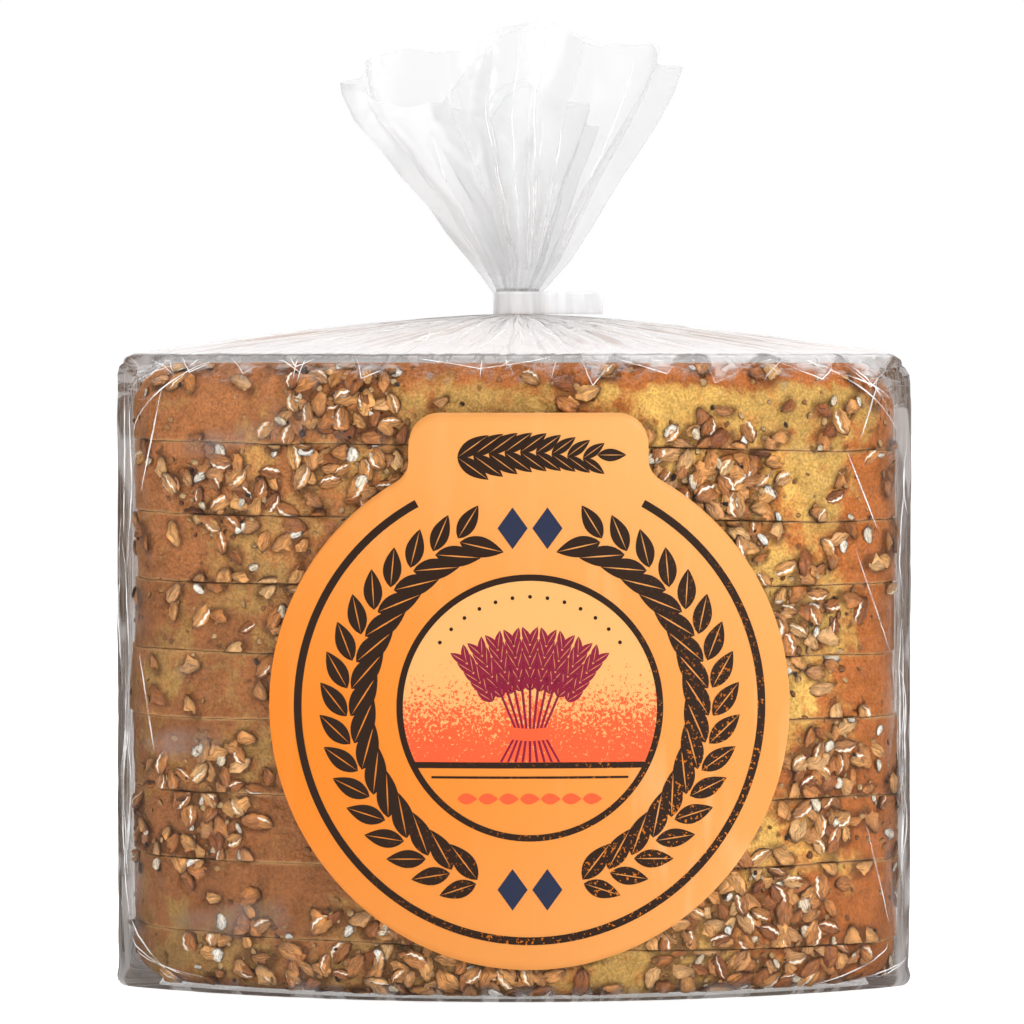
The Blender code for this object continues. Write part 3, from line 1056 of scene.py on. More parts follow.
@dataclass(frozen=True)
class FilmFinish:
    """Thin clear film: see-through where it lies flat, hazy where it is slack or creased. Its dark shade
    colour is painted shade and painted dark reflection, and its whiter streaks and creases are partly
    whitened film and partly painted highlight.
    """

    name: str = "clear_film"
    haze: Colour = display(232, 233, 234)
    # Painted shade and painted dark reflection, laid where the film is slack.
    shade: Colour = display(64, 51, 39)
    streaks: float = 15.0
    along: float = 4.0
    clear: float = 0.004
    grazing: float = 0.6
    gloss: float = 0.3
    whitening: float = 0.5
    white_grazing: float = 0.9
    slack_low: float = 0.45
    slack_high: float = 0.3
    relief: float = 0.4 * MM
    shadowless: bool = True

    def material(self) -> bpy.types.Material:
        """The finish of a piece of film."""
        paint = Paint(self.name)
        slack, crease, white = paint.trait("slack"), paint.trait("crease"), paint.trait("white")
        run = paint.held_place(east=self.streaks, north=self.streaks, rise=self.along)
        streak = paint.band(paint.noise(1.0, 2.0, 0.6, run, 0.8), 0.46, 0.62)
        facing = paint.add("ShaderNodeLayerWeight", {"Blend": 0.5}, "Facing")
        rim = facing**2.6 * (white * self.white_grazing + self.grazing)
        loose = slack * (streak * self.slack_high + self.slack_low)
        share = paint.maths("ADD", loose + rim + self.clear + crease * 0.6, white * 0.06, clamp=True)
        pale = (streak.most(crease) * self.whitening).most(white)
        normal = paint.bump(paint.noise(240.0, 2.0, 0.6) + streak * slack, self.relief)
        feeds = {"Color": paint.mix(pale, self.shade, self.haze), "Normal": normal}
        lit, through = (paint.add(f"ShaderNodeBsdf{kind}", feeds) for kind in ("Diffuse", "Translucent"))
        film = paint.over(share, paint.clear(), paint.over(white * -0.35 + 0.5, lit, through))
        shine = paint.add("ShaderNodeBsdfGlossy", {"Color": WHITE, "Roughness": 0.14, "Normal": normal})
        mirror = paint.add("ShaderNodeFresnel", {"IOR": 1.35, "Normal": normal}) * self.gloss
        film = paint.over(mirror, film, shine)
        return paint.done(paint.lit_through(film) if self.shadowless else film)


@dataclass
class FilmBlock:
    """The bag round the loaf: bottom, walls, drawn-in shoulders and neck."""

    pack: Pack
    around: int = 520
    wall_rows: int = 96
    shoulder_rows: int = 44
    inset: float = 0.1 * MM
    rounding: float = 1.9 * MM
    rise: float = 7.5 * MM
    neck_top: float = 124.2 * MM
    corner_left: float = 3.4 * MM
    corner_right: float = 4.8 * MM
    flags: tuple[tuple[float, float, float, float], ...] = (
        (-68.0, -66.0, -61.0, 4.6),
        (-58.5, -57.0, -52.0, 3.0),
        (-49.5, -47.5, -43.0, 3.2),
        (-39.0, -38.0, -34.0, 2.0),
        (-27.5, -26.5, -19.0, 4.0),
        (-19.0, -6.0, 7.0, 2.3),
        (11.5, 13.6, 17.0, 5.2),
        (16.5, 26.5, 28.5, 3.2),
        (33.0, 35.0, 43.0, 4.8),
        (44.0, 54.0, 57.0, 4.2),
        (57.0, 63.0, 67.0, 5.6),
    )
    relief: Relief = field(default_factory=lambda: Relief(21))
    SLANT: ClassVar[np.ndarray] = np.array([[0.5, 0.0, -0.5], [0.0, 1.0, 0.0], [1.0, 0.0, 2.2]])

    def wall(self, angles: np.ndarray, heights: np.ndarray | float, out: float = 0.0) -> np.ndarray:
        """Points on the upright walls with their wrinkles, a little outside if out is given."""
        depth = self.wrinkles(self.pack.block.ring(angles, self.inset, heights), angles)
        return self.soften(self.pack.block.ring(angles, self.inset + depth - out, heights))

    def soften(self, points: np.ndarray) -> np.ndarray:
        """Rounds the film's upper edges on the left and the right.

        Args:
            points: Places on a block with sharp edges.

        Returns:
            The same places on the rounded block.
        """
        rounded = points.copy()
        side = np.sign(points[:, 0])
        radius = np.where(side > 0.0, self.corner_right, self.corner_left)
        start_x, start_z = self.pack.bag_high.x - radius, self.pack.block_height - radius
        past_x, past_z = np.abs(points[:, 0]) - start_x, points[:, 2] - start_z
        outer = (past_x > 0.0) & (past_z > 0.0)
        far = np.maximum(np.hypot(past_x, past_z), 1e-9)
        factor = np.where(outer, np.maximum(past_x, past_z) / far, 1.0)
        rounded[:, 0] = np.where(outer, side * (start_x + past_x * factor), points[:, 0])
        rounded[:, 2] = np.where(outer, start_z + past_z * factor, points[:, 2])
        return rounded

    def wrinkles(self, flat: np.ndarray, angles: np.ndarray) -> np.ndarray:
        """How deep the film is pushed in at each point.

        Args:
            flat: The points on a film without wrinkles.
            angles: Their directions.

        Returns:
            The depths.
        """
        x, z = np.abs(flat[:, 0]), flat[:, 2]
        top = self.pack.block_height
        side = ease(60 * MM, 68 * MM, x)
        upright = round_place(angles, 0.12, z * 0.11)
        ridges, fine = self.relief.ridges(upright, 1.1 * MM), self.relief.ridges(upright + 0.4, 0.5 * MM)
        pleats = np.abs(self.relief.at(round_place(angles, 0.2, z * 0.3), 2.6 * MM))
        upper = ease(top - 9 * MM, top - 1.5 * MM, z) * ease(top, top - 1.2 * MM, z)
        lower = ease(9 * MM, 1.5 * MM, z) * ease(0.0, 1.2 * MM, z)
        depth = 0.06 * (1.0 + self.relief.at(flat, 9 * MM))
        depth += side * (0.22 * ridges**2 + 0.1 * fine)
        depth += (upper + 0.6 * lower) * 0.9 * pleats
        return depth * MM

    def crown(self, angles: np.ndarray, shares: np.ndarray | float, out: float = 0.0) -> np.ndarray:
        """Points on the drawn-in shoulders, from the top edge at 0 to the neck at 1.

        Args:
            angles: Their directions.
            shares: How far in they lie.
            out: How far above the film they lie.

        Returns:
            The points.
        """
        pack = self.pack
        shares = np.zeros(len(angles)) + shares
        edge = pack.block.reach(angles) - self.inset - self.rounding * 0.3
        reach = edge + (pack.neck_radius - edge) * shares
        inner = 1.0 - shares
        spread = round_place(angles, 0.1, shares * 0.004)
        folds = self.relief.ridges(spread + 0.2, 0.9 * MM)
        broad = np.abs(self.relief.at(spread + 0.5, 2.4 * MM))
        middle = np.sin(np.pi * np.clip(shares, 0.0, 1.0)) ** 0.6
        level = pack.block_height + self.rise * (1.0 - inner**1.4)
        level = level - middle * (0.45 * folds**2 + 1.1 * broad) * MM + out
        x = pack.neck_x * shares + reach * np.cos(angles)
        y = pack.block.middle * inner + reach * np.sin(angles)
        return self.soften(np.stack([x, y, level], 1))

    def neck(self, angles: np.ndarray, height: float) -> np.ndarray:
        """One level of the gathered neck."""
        gather = 1.0 - 0.16 * (0.5 + 0.5 * np.cos(17 * angles + 1.3 * np.sin(3 * angles)))
        reach = self.pack.neck_radius * gather
        level = np.full(len(angles), height)
        return np.stack([self.pack.neck_x + reach * np.cos(angles), reach * np.sin(angles), level], 1)

    def build(self) -> None:
        """Makes the film round the loaf."""
        pack, block = self.pack, self.pack.block
        angles = block.spread(self.around, 0.55)
        floor = 0.05 * MM
        middle = np.array([0.0, block.middle, floor])
        flat = block.ring(angles, self.rounding + self.inset, 0.0) - middle
        rings = [middle + flat * np.array([share, share, 1.0]) for share in (0.03, 0.25, 0.5, 0.75, 0.92)]
        for turn in np.linspace(0.0, 0.5 * math.pi, 5):
            drop = self.rounding * (1.0 - math.sin(turn)) + self.inset
            rings.append(block.ring(angles, drop, self.rounding * (1.0 - math.cos(turn)) + floor))
        low, high = self.rounding + floor, pack.block_height - self.rounding
        share = np.linspace(0.0, 1.0, self.wall_rows)[1:-1]
        bent = share + 0.055 * np.sin(2.0 * math.pi * share)
        rings += [self.wall(angles, height) for height in low + (high - low) * (1.0 - bent[::-1])]
        depth = self.wrinkles(block.ring(angles, self.inset, high), angles)
        for turn in np.linspace(0.0, 0.42 * math.pi, 5):
            drop = self.inset + self.rounding * (1.0 - math.cos(turn)) + depth * math.cos(turn)
            rings.append(self.soften(block.ring(angles, drop, high + self.rounding * math.sin(turn))))
        shoulder = len(rings)
        shares = np.linspace(0.0, 1.0, self.shoulder_rows)[1:] ** 0.85
        rings += [self.crown(angles, share) for share in shares]
        for height in np.linspace(pack.block_height + self.rise + 0.4 * MM, self.neck_top, 6):
            rings.append(self.neck(angles, height))
        points = np.concatenate(rings + [[middle]])
        faces = tube_faces(len(rings), self.around).tolist()
        faces += fan_faces(0, self.around, len(points) - 1, False).tolist()
        drawn_in = np.append(np.repeat(np.arange(len(rings)) >= shoulder, self.around), False)
        traits = self.traits(points, np.append(np.tile(angles, len(rings)), 0.0), drawn_in)
        made = piece_from("bag_film", points, faces, FilmFinish().material(), traits)
        hand_over(made, "clear_film", "sealed_bag")

    def traits(self, points: np.ndarray, angles: np.ndarray, drawn_in: np.ndarray) -> dict[str, np.ndarray]:
        """What the film's finish reads at each point.

        Args:
            points: The film's points.
            angles: Their directions.
            drawn_in: Which of them lie on the shoulders or the neck.

        Returns:
            The numbers by name.
        """
        pack, at = self.pack, self.relief.at
        top = pack.block_height
        x, z = np.abs(points[:, 0]), points[:, 2]
        away = np.hypot(points[:, 0], points[:, 1])
        front = ease(pack.block.middle, pack.bag_low.y + 26 * MM, points[:, 1])
        edge = ease(65 * MM, 69.0 * MM, x) * (0.3 + 0.7 * front)
        along = round_place(angles, 0.2, 0.0)
        start = top - (4.2 + 1.6 * (at(along, 2.2 * MM) + 0.5 * at(along + 0.3, 0.8 * MM))) * MM
        upper, lower = ease(start, start + 2.4 * MM, z), ease(3.0 * MM, 0.8 * MM, z)
        ends = np.maximum(ease(13 * MM, 3 * MM, z), ease(100 * MM, 110 * MM, z))
        corner = ease(58 * MM, 68 * MM, x) * ends
        flags = self.flagged(points) * front
        # Painted glare: broad slanting whitish bands over the front, towards the left.
        painted_glare = ease(0.3, 0.8, at(points @ self.SLANT, 14 * MM)) * ease(20 * MM, -40 * MM, points[:, 0])
        # Painted shade: a dark line just under the top edge across the front left.
        brim = ease(top - 1.7 * MM, top - 1.1 * MM, z) * front * ease(30 * MM, -20 * MM, points[:, 0])
        # Painted shade and painted dark reflection: the edge, upper, lower and corner masks lay the film's
        # dark shade colour on the side bands, the top band, the bottom edge and the corners.
        slack = [edge, upper * 0.75, lower * 0.8, corner * 0.85, flags * 0.9]
        slack += [0.28 * painted_glare * front, 0.95 * brim]
        ridge = self.relief.ridges(along + 0.7, 0.9 * MM)
        crease = ease(0.95, 0.99, ridge) * np.clip(edge + corner, 0.0, 1.0) * 0.5
        white = (0.75 * flags + 0.45 * painted_glare * front) * (1.0 - 0.8 * brim)
        rise = z * 10.0 + 0.12 * ease(top - 9 * MM, top, z) * 10.0
        drawn_slack = 0.5 + 0.4 * ease(40 * MM, 8 * MM, away)
        return {
            "slack": np.where(drawn_in, drawn_slack, np.maximum.reduce(slack)),
            "crease": np.where(drawn_in, 0.3 * ease(0.9, 0.98, ridge), crease),
            "white": np.where(drawn_in, 0.75, white),
            "east": np.cos(angles),
            "north": np.sin(angles),
            "rise": np.where(drawn_in, away * 10.0, rise),
        }

    def flagged(self, points: np.ndarray) -> np.ndarray:
        """Which points lie on the folded flaps that hang from the top edge."""
        x, drop = points[:, 0], self.pack.block_height - points[:, 2]
        inside = np.zeros(len(points))
        for start, tip, end, length in self.flags:
            line = np.interp(x, np.sort([start, tip, end]) * MM, [0.0, length * MM, 0.0])
            inside = np.maximum(inside, ease(0.0, 0.5 * MM, line - drop) * (line > 0.0))
        return inside


@dataclass
class LooseEnd:
    """The open end of the bag above the tape, gathered in deep pleats."""

    pack: Pack
    around: int = 400
    rows: int = 84
    pleats: int = 8
    start: float = 123.6 * MM
    levels: tuple[float, ...] = (
        123.6, 126.5, 129.1, 134.2, 139.4, 144.5, 149.6, 154.8, 159.9, 165.0, 174.4
    )
    lefts: tuple[float, ...] = (-4.0, -6.0, -8.1, -12.3, -15.8, -20.6, -24.4, -29.2, -31.6, -32.2, -33.0)
    rights: tuple[float, ...] = (5.3, 7.9, 10.3, 13.6, 16.7, 19.8, 23.3, 26.6, 29.3, 31.1, 32.0)
    depths: tuple[float, ...] = (4.2, 5.0, 5.8, 7.4, 9.0, 10.4, 11.8, 13.0, 14.2, 15.2, 16.5)
    rim_places: tuple[float, ...] = (
        -1.0, -0.92, -0.7, -0.45, -0.26, -0.05, 0.14, 0.34, 0.57, 0.82, 0.92, 1.0
    )
    rim_back: tuple[float, ...] = (
        162.5, 166.4, 168.9, 168.5, 169.4, 173.4, 174.2, 172.4, 169.8, 169.8, 167.6, 164.9
    )
    rim_front: tuple[float, ...] = (
        162.5, 159.6, 157.6, 157.8, 164.6, 170.2, 172.4, 171.2, 169.0, 168.8, 167.0, 164.9
    )
    panel_edges: tuple[float, ...] = (
        -1.0, -0.96, -0.94, -0.42, -0.4, -0.12, -0.1, 0.13, 0.15, 0.2, 0.22, 0.46, 0.48, 0.9, 0.92, 1.0
    )
    panel_shades: tuple[float, ...] = (
        0.72, 0.72, 0.5, 0.68, 0.34, 0.5, 0.12, 0.16, 0.42, 0.34, 0.56, 0.4, 0.06, 0.08, 0.12, 0.16
    )

    def width(self, heights: np.ndarray) -> tuple[np.ndarray, np.ndarray, np.ndarray]:
        """The flare's middle, half width and half depth at some heights."""
        levels = np.array(self.levels) * MM
        sizes = np.array([self.lefts, self.rights, self.depths]) * MM
        left, right, depth = (np.interp(heights, levels, size) for size in sizes)
        return (left + right) / 2, (right - left) / 2, depth

    def rim(self, angles: np.ndarray, drop: float) -> np.ndarray:
        """How high the rim lies in each direction.

        Args:
            angles: The directions.
            drop: How much lower this layer ends.

        Returns:
            The heights.
        """
        front = np.interp(np.cos(angles), self.rim_places, self.rim_front)
        back = np.interp(np.cos(angles), self.rim_places, self.rim_back)
        facing = ease(-0.25, 0.25, np.sin(angles))
        wave = 0.3 * np.sin(9 * angles + 0.6) + 0.15 * np.sin(23 * angles)
        return (front * (1 - facing) + back * facing - drop + wave - 0.4) * MM

    def layer(self, angles: np.ndarray, shares: np.ndarray, size: float, drop: float) -> np.ndarray:
        """Points on one layer of the flare.

        Args:
            angles: Their directions.
            shares: How far up they lie, from the neck at 0 to the rim at 1.
            size: Its girth beside the outer layer's.
            drop: How much lower it ends, in millimetres.

        Returns:
            The points.
        """
        heights = self.start + (self.rim(angles, drop) - self.start) * shares
        middle, half, depth = self.width(heights)
        phase = self.pleats * angles + 0.9 * np.sin(2 * angles) + 0.6 * np.sin(4 * angles) * shares
        fold = (0.5 - 0.5 * np.cos(phase)) ** 0.8
        finer = (0.5 - 0.5 * np.cos(3.0 * phase + 4 * shares)) * (1.0 - np.cos(angles) ** 8)
        finer = finer * (1.0 - shares)
        deep = np.interp(shares, [0.0, 0.15, 0.5, 1.0], [0.3, 0.38, 0.24, 0.12])
        girth = size * (1.0 - deep * fold - 0.1 * finer)
        sway = 0.6 * MM * np.sin(3.0 * angles + 6.0 * shares) * shares
        x, y = middle + half * girth * np.cos(angles), depth * girth * np.sin(angles) + sway
        return np.stack([x, y, heights], 1)

    def build(self) -> None:
        """Makes the outer layer and one nested inside it."""
        pale, grey = display(252, 252, 253), display(198, 199, 201)
        look = {"clear": 0.07, "grazing": 0.3, "white_grazing": -0.1, "slack_low": 0.8, "slack_high": -0.2}
        finish = FilmFinish("gathered_film", pale, grey, 2.4, 1.4, shadowless=False, **look).material()
        turns = np.linspace(0.5, 2.5, self.around, endpoint=False) * math.pi
        angles, shares = np.tile(turns, self.rows), np.repeat(np.linspace(0.0, 1.0, self.rows), self.around)
        faces = tube_faces(self.rows, self.around).tolist()
        shade = np.interp(np.cos(angles), self.panel_edges, self.panel_shades)
        for name, size, drop in (("loose_end", 1.0, 0.0), ("loose_end_inner", 0.62, 11.0)):
            panel = np.where((np.sin(angles) < 0.0) & (size == 1.0), shade, 0.16)
            traits = {
                "slack": panel * ease(0.0, 0.25, shares) + 0.2 * (1.0 - shares) ** 4,
                "white": 0.4 * (1.0 - shares) ** 2,
                "crease": 0.25 * size * ease(0.99, 1.0, shares),
                "east": np.cos(angles),
                "north": np.sin(angles),
                "rise": shares,
            }
            points = self.layer(angles, shares, size, drop)
            hand_over(piece_from(name, points, faces, finish, traits), "clear_film")


class CreaseMaker(Tool):
    """Turns lines of points into fine tapered creases."""

    def __init__(self) -> None:
        """Builds the tree: a small round section along each line."""
        super().__init__("crease_lines", {"Girth": "Float"})
        sheet = self.sheet
        circle = {"Resolution": 5, "Radius": 1.0}
        feeds = {
            "Curve": sheet.add("GeometryNodeMeshToCurve", {"Mesh": self.given["Base"]}),
            "Profile Curve": sheet.add("GeometryNodeCurvePrimitiveCircle", circle),
            "Scale": self.held("thick") * self.given["Girth"],
            "Fill Caps": True,
        }
        self.close(sheet.add("GeometryNodeCurveToMesh", feeds))

    def crease(self, name: str, lines: list[np.ndarray], girth: float, finish: bpy.types.Material) -> None:
        """Makes one piece with all the creases of a place.

        Args:
            name: The piece's name.
            lines: One array of points for each crease.
            girth: The radius of the thickest part.
            finish: The creases' material.
        """
        thick = [0.15 + 0.85 * np.sin(np.linspace(0.0, math.pi, len(line))) for line in lines]
        ends = np.cumsum([len(line) for line in lines])
        runs = np.split(np.arange(ends[-1]), ends[:-1])
        edges = np.concatenate([np.stack([run[:-1], run[1:]], 1) for run in runs])
        mesh = bpy.data.meshes.new(f"{name}_lines")
        mesh.from_pydata(np.concatenate(lines).tolist(), edges.tolist(), [])
        hold(mesh, {"thick": np.concatenate(thick)})
        hand_over(self.make(name, mesh, {"Girth": girth, "Finish": finish}), "clear_film")


@dataclass(frozen=True)
class CreaseFinish:
    """Whitish glossy fold lines that stay a little see-through: partly whitened film, partly painted
    highlight.
    """

    white: Colour = display(250, 250, 250)
    roughness: float = 0.25

    def material(self) -> bpy.types.Material:
        """The finish of the film's creases."""
        paint = Paint("film_crease")
        white = paint.body(Base_Color=self.white, Roughness=self.roughness, Specular_IOR_Level=0.6)
        share = paint.band(paint.noise(160.0, 2.0), 0.35, 0.65, (0.1, 0.6))
        return paint.done(paint.lit_through(paint.over(share, paint.clear(), white)))


@dataclass
class Creases:
    """Bright fine lines where the film is folded, partly whitened film and partly painted highlight."""

    film: FilmBlock
    end: LooseEnd
    maker: CreaseMaker
    seed: int = 5
    crossings: tuple[tuple[float, float, float, float], ...] = (
        (58.5, 95.0, 64.0, 81.5),
        (64.5, 108.0, 61.0, 97.5),
        (60.0, 78.0, 66.5, 60.0),
        (-62.0, 106.0, -66.0, 88.0),
        (-66.5, 60.0, -63.5, 42.0),
        (62.0, 30.0, 66.5, 12.0),
    )
    OUT: ClassVar[float] = 0.06 * MM

    def build(self) -> None:
        """Makes the creases of the walls, the shoulders and the loose end."""
        draw, crease = np.random.default_rng(self.seed), self.maker.crease
        finish = CreaseFinish().material()
        lines = self.side_lines(draw) + self.corner_lines(draw) + self.front_lines()
        crease("wall_creases", lines, 0.14 * MM, finish)
        crease("edge_creases", self.top_lines(draw), 0.09 * MM, finish)
        crease("shoulder_creases", self.shoulder_lines(draw), 0.12 * MM, finish)
        crease("end_creases", self.end_lines(draw), 0.13 * MM, finish)

    def side_angle(self, x: np.ndarray | float, right: np.ndarray | bool) -> np.ndarray:
        """The directions of the front corners' film at some distances from the middle."""
        angles = np.linspace(-0.5 * math.pi, 0.0, 800)
        turn = np.interp(x, self.film.pack.block.ring(angles, 0.0, 0.0)[:, 0], angles)
        return np.where(right, turn, -math.pi - turn)

    def side_lines(self, draw: np.random.Generator) -> list[np.ndarray]:
        """Upright creases on the two front corners."""
        lines = []
        for right in [False] * 9 + [True] * 7:
            x = 69.8 * MM - abs(draw.normal(0.0, 1.5)) * MM
            low = draw.uniform(2.0, 92.0) * MM
            high = min(low + draw.uniform(10.0, 52.0) * MM, 109.0 * MM)
            wander = np.cumsum(np.cumsum(draw.normal(0.0, 0.0004, 30)))
            wander -= np.linspace(wander[0], wander[-1], 30)
            turns = self.side_angle(x, right) + wander
            lines.append(self.film.wall(turns, np.linspace(low, high, 30), self.OUT))
        return lines

    def top_lines(self, draw: np.random.Generator) -> list[np.ndarray]:
        """Short slanting creases that hang from the top edge."""
        lines, top = [], self.film.pack.block_height - 0.8 * MM
        down, up = np.linspace(0.0, 1.0, 8), np.linspace(0.0, 1.0, 10)[1:]
        drop = np.concatenate([np.linspace(0.2, 1.0, 8) ** 1.3, (1.0 - up) ** 0.7])
        for start, tip, end, length in self.film.flags:
            x = np.concatenate([np.linspace(start, tip, 8), np.linspace(tip, end, 10)[1:]]) * MM
            turns = self.side_angle(np.abs(x), x > 0)
            lines.append(self.film.wall(turns, top - drop * length * MM + 0.8 * MM, self.OUT))
        for _ in range(16):
            turn = draw.uniform(-0.84, -0.16) * math.pi
            reach, slope = draw.uniform(1.0, 4.0) * MM, draw.uniform(-0.08, 0.08)
            lines.append(self.film.wall(turn + slope * down, top - reach * down**1.5, self.OUT))
        return lines

    def corner_lines(self, draw: np.random.Generator) -> list[np.ndarray]:
        """Curved creases in the slack corners."""
        lines, share = [], np.linspace(0.0, 1.0, 12)
        for right, bottom, _ in product((False, True), (False, True), range(3)):
            outer = 70.0 * MM - draw.uniform(0.0, 4.0) * MM
            inner = outer - draw.uniform(4.0, 16.0) * MM
            turns = self.side_angle(outer + (inner - outer) * share**1.6, right)
            reach = draw.uniform(3.0, 15.0) * MM
            level = (reach * (1.0 - share) ** 1.2) + draw.uniform(1.2, 3.0) * MM
            heights = level if bottom else self.film.pack.block_height - level
            lines.append(self.film.wall(turns, heights, self.OUT))
        return lines

    def front_lines(self) -> list[np.ndarray]:
        """A few long creases that cross the front near its edges."""
        lines, share = [], np.linspace(0.0, 1.0, 14)
        for x0, z0, x1, z1 in self.crossings:
            x = (abs(x0) + (abs(x1) - abs(x0)) * share) * MM
            heights = (z0 + (z1 - z0) * share) * MM
            lines.append(self.film.wall(self.side_angle(x, x0 > 0), heights, self.OUT))
        return lines

    def shoulder_lines(self, draw: np.random.Generator) -> list[np.ndarray]:
        """Creases that run from the top edge to the neck."""
        lines = []
        for _ in range(44):
            turn = draw.uniform(0.0, 2.0) * math.pi
            near, far = draw.uniform(0.5, 0.99), draw.uniform(0.0, 0.45)
            share = np.linspace(far, near, 14)
            bend = draw.normal(0.0, 0.05) * np.sin(np.pi * (share - far) / (near - far))
            lines.append(self.film.crown(turn + bend, share, 0.08 * MM))
        return lines

    def end_lines(self, draw: np.random.Generator) -> list[np.ndarray]:
        """Creases that fan out from the neck to the rim."""
        lines = []
        for _ in range(14):
            turn = (1.5 + draw.normal(0.0, 0.2)) * math.pi
            far = draw.uniform(0.35, 0.97)
            share = np.linspace(draw.uniform(0.02, 0.2), far, 18)
            lines.append(self.end.layer(turn + draw.normal(0.0, 0.12) * share**2, share, 1.01, 0.0))
        return lines


@dataclass(frozen=True)
class TapeFinish:
    """Milky clear tape, whiter where it goes round the neck, with a faint painted glow."""

    flag: tuple[Colour, Colour] = (display(238, 239, 240), display(252, 252, 253))
    neck: tuple[Colour, Colour] = (display(240, 241, 243), WHITE)
    glow: float = 0.22

    def material(self) -> bpy.types.Material:
        """The finish of the strip."""
        paint = Paint("milky_tape")
        x, _, _ = paint.split(paint.where)
        streak = paint.band(paint.noise(1.0, 2.0, 0.5, paint.stretched(420.0, 420.0, 60.0)), 0.3, 0.7)
        flag, neck = paint.mix(streak, *self.flag), paint.mix(streak, *self.neck)
        colour = paint.mix(paint.band(x, 7.0 * MM, 3.0 * MM), flag, neck)
        # Painted light: the tape glows faintly white though it is no lamp.
        glow = {"Emission_Color": WHITE, "Emission_Strength": self.glow}
        surface = paint.body(Base_Color=colour, Roughness=0.22, Specular_IOR_Level=0.6, **glow)
        milky = paint.over(0.5, surface, paint.add("ShaderNodeBsdfTranslucent", {"Color": colour}))
        return paint.done(paint.over(paint.band(streak, 0.0, 1.0, (0.6, 0.75)), paint.clear(), milky))


@dataclass
class NeckTape:
    """A strip of clear tape round the neck, stuck to itself in a flag on the right."""

    pack: Pack
    radius: float = 4.45 * MM
    thickness: float = 0.14 * MM
    rows: int = 9

    def path(self) -> np.ndarray:
        """The strip's middle line seen from above, from the flag's end round and back."""
        pack, root = self.pack, math.radians(14.0)
        end, half = pack.tape_high.x - 0.3 * MM, self.thickness * 0.55
        turns = np.linspace(root, 2.0 * math.pi - root, 72)
        arc = np.stack([pack.neck_x + self.radius * np.cos(turns), self.radius * np.sin(turns)], 1)
        arc *= 1.0 + 0.006 * np.sin(5 * turns)[:, None]
        x, y = arc[0]
        share = np.linspace(0.0, 1.0, 26)
        flag = np.stack([end + (x - end) * share, half + (y - half) * ease(0.72, 1.0, share)], 1)
        wave = np.stack([np.zeros(26), 0.16 * MM * np.sin(share * 9.0) * (1.0 - share)], 1)
        back = flag * np.array([1.0, -1.0]) + wave
        return np.concatenate([(flag + wave)[:-1], arc, back[::-1][1:]])

    def build(self) -> None:
        """Makes the strip as a closed thin band."""
        middle = self.path()
        along = np.gradient(middle, axis=0)
        along /= np.linalg.norm(along, axis=1)[:, None]
        out = np.stack([along[:, 1], -along[:, 0]], 1) * self.thickness * 0.45
        loop = np.concatenate([middle + out, (middle - out)[::-1]])
        count = len(loop)
        levels = np.linspace(self.pack.tape_low.z + 0.1 * MM, self.pack.tape_high.z - 0.1 * MM, self.rows)
        points = np.concatenate([np.column_stack([loop, np.full(count, level)]) for level in levels])
        step = np.arange(count // 2 - 1)
        side = np.stack([step, step + 1, count - 2 - step, count - 1 - step], 1)
        blocks = [tube_faces(self.rows, count), side[:, ::-1], side + (self.rows - 1) * count]
        faces, finish = np.concatenate(blocks).tolist(), TapeFinish().material()
        hand_over(piece_from("neck_tape_strip", points, faces, finish), "tape", "neck_tape")


@dataclass(frozen=True)
class Inks:
    """The label's paper and its printing colours."""

    paper: Colour = display(214, 158, 94)
    deep: Colour = display(214, 116, 10)
    painted_sheen: Colour = display(232, 196, 150)
    dark: Colour = display(38, 20, 6)
    navy: Colour = display(34, 40, 62)
    coral: Colour = display(222, 84, 46)
    maroon: Colour = display(124, 22, 48)

    def sheet(self) -> bpy.types.Material:
        """Coated orange paper, with a painted highlight that makes it lighter towards the upper right, and
        painted glare streaks.
        """
        paint = Paint("label_sheet")
        x, _, z = paint.split(paint.where)
        # Painted highlight: the orange lightens from deep towards paper to the right, towards the top and
        # near the bottom.
        across = paint.band(x, -60.0 * MM, 70.0 * MM, (0.0, 0.56))
        lower = paint.band(z, 40.0 * MM, 2.0 * MM, (0.0, 0.26))
        light = paint.band(z, 44.0 * MM, 112.0 * MM) * 0.5 + across + lower
        # Painted glare: slanting streaks of sheen over the right half.
        streaks = paint.noise(1.0, 2.0, 0.6, paint.stretched(150.0, 1.0, 22.0, (0.0, -0.62, 0.0)), 0.3)
        gloss = paint.band(streaks, 0.54, 0.7) * paint.band(x, 5.0 * MM, 32.0 * MM, (0.04, 0.2))
        colour = paint.mix(gloss, paint.mix(light, self.deep, self.paper), self.painted_sheen)
        normal = paint.bump(paint.noise(700.0, 2.0), 0.04 * MM)
        look = {"Roughness": 0.45, "Specular_IOR_Level": 0.2, "Normal": normal}
        return paint.done(paint.body(Base_Color=colour, **look))

    def ink(self, name: str, colour: Colour, worn: float = 0.0) -> bpy.types.Material:
        """A printed ink.

        Args:
            name: The material's name.
            colour: The ink's colour.
            worn: How much of it is missing at the lower right, from 0 to 1.

        Returns:
            The material.
        """
        paint = Paint(name)
        base: Any = colour
        if worn > 0.0:
            x, _, z = paint.split(paint.where)
            spots = paint.band(paint.noise(1500.0, 2.0, 0.7), 0.6, 0.64)
            base = paint.mix(spots * paint.band(x - z, -60.0 * MM, 10.0 * MM) * worn, colour, self.deep)
        return paint.done(paint.body(Base_Color=base, Roughness=0.5, Specular_IOR_Level=0.15))

    def speckled(self) -> bpy.types.Material:
        """Coral sprayed over the orange, denser towards the bar."""
        paint = Paint("ink_speckled")
        _, _, z = paint.split(paint.where)
        limit = 0.78 - paint.band(z, 66.0 * MM, 40.0 * MM) * 0.46
        colour = paint.mix(paint.noise(1900.0, 2.0, 0.7).past(limit), self.paper, self.coral)
        return paint.done(paint.body(Base_Color=colour, Roughness=0.5, Specular_IOR_Level=0.15))


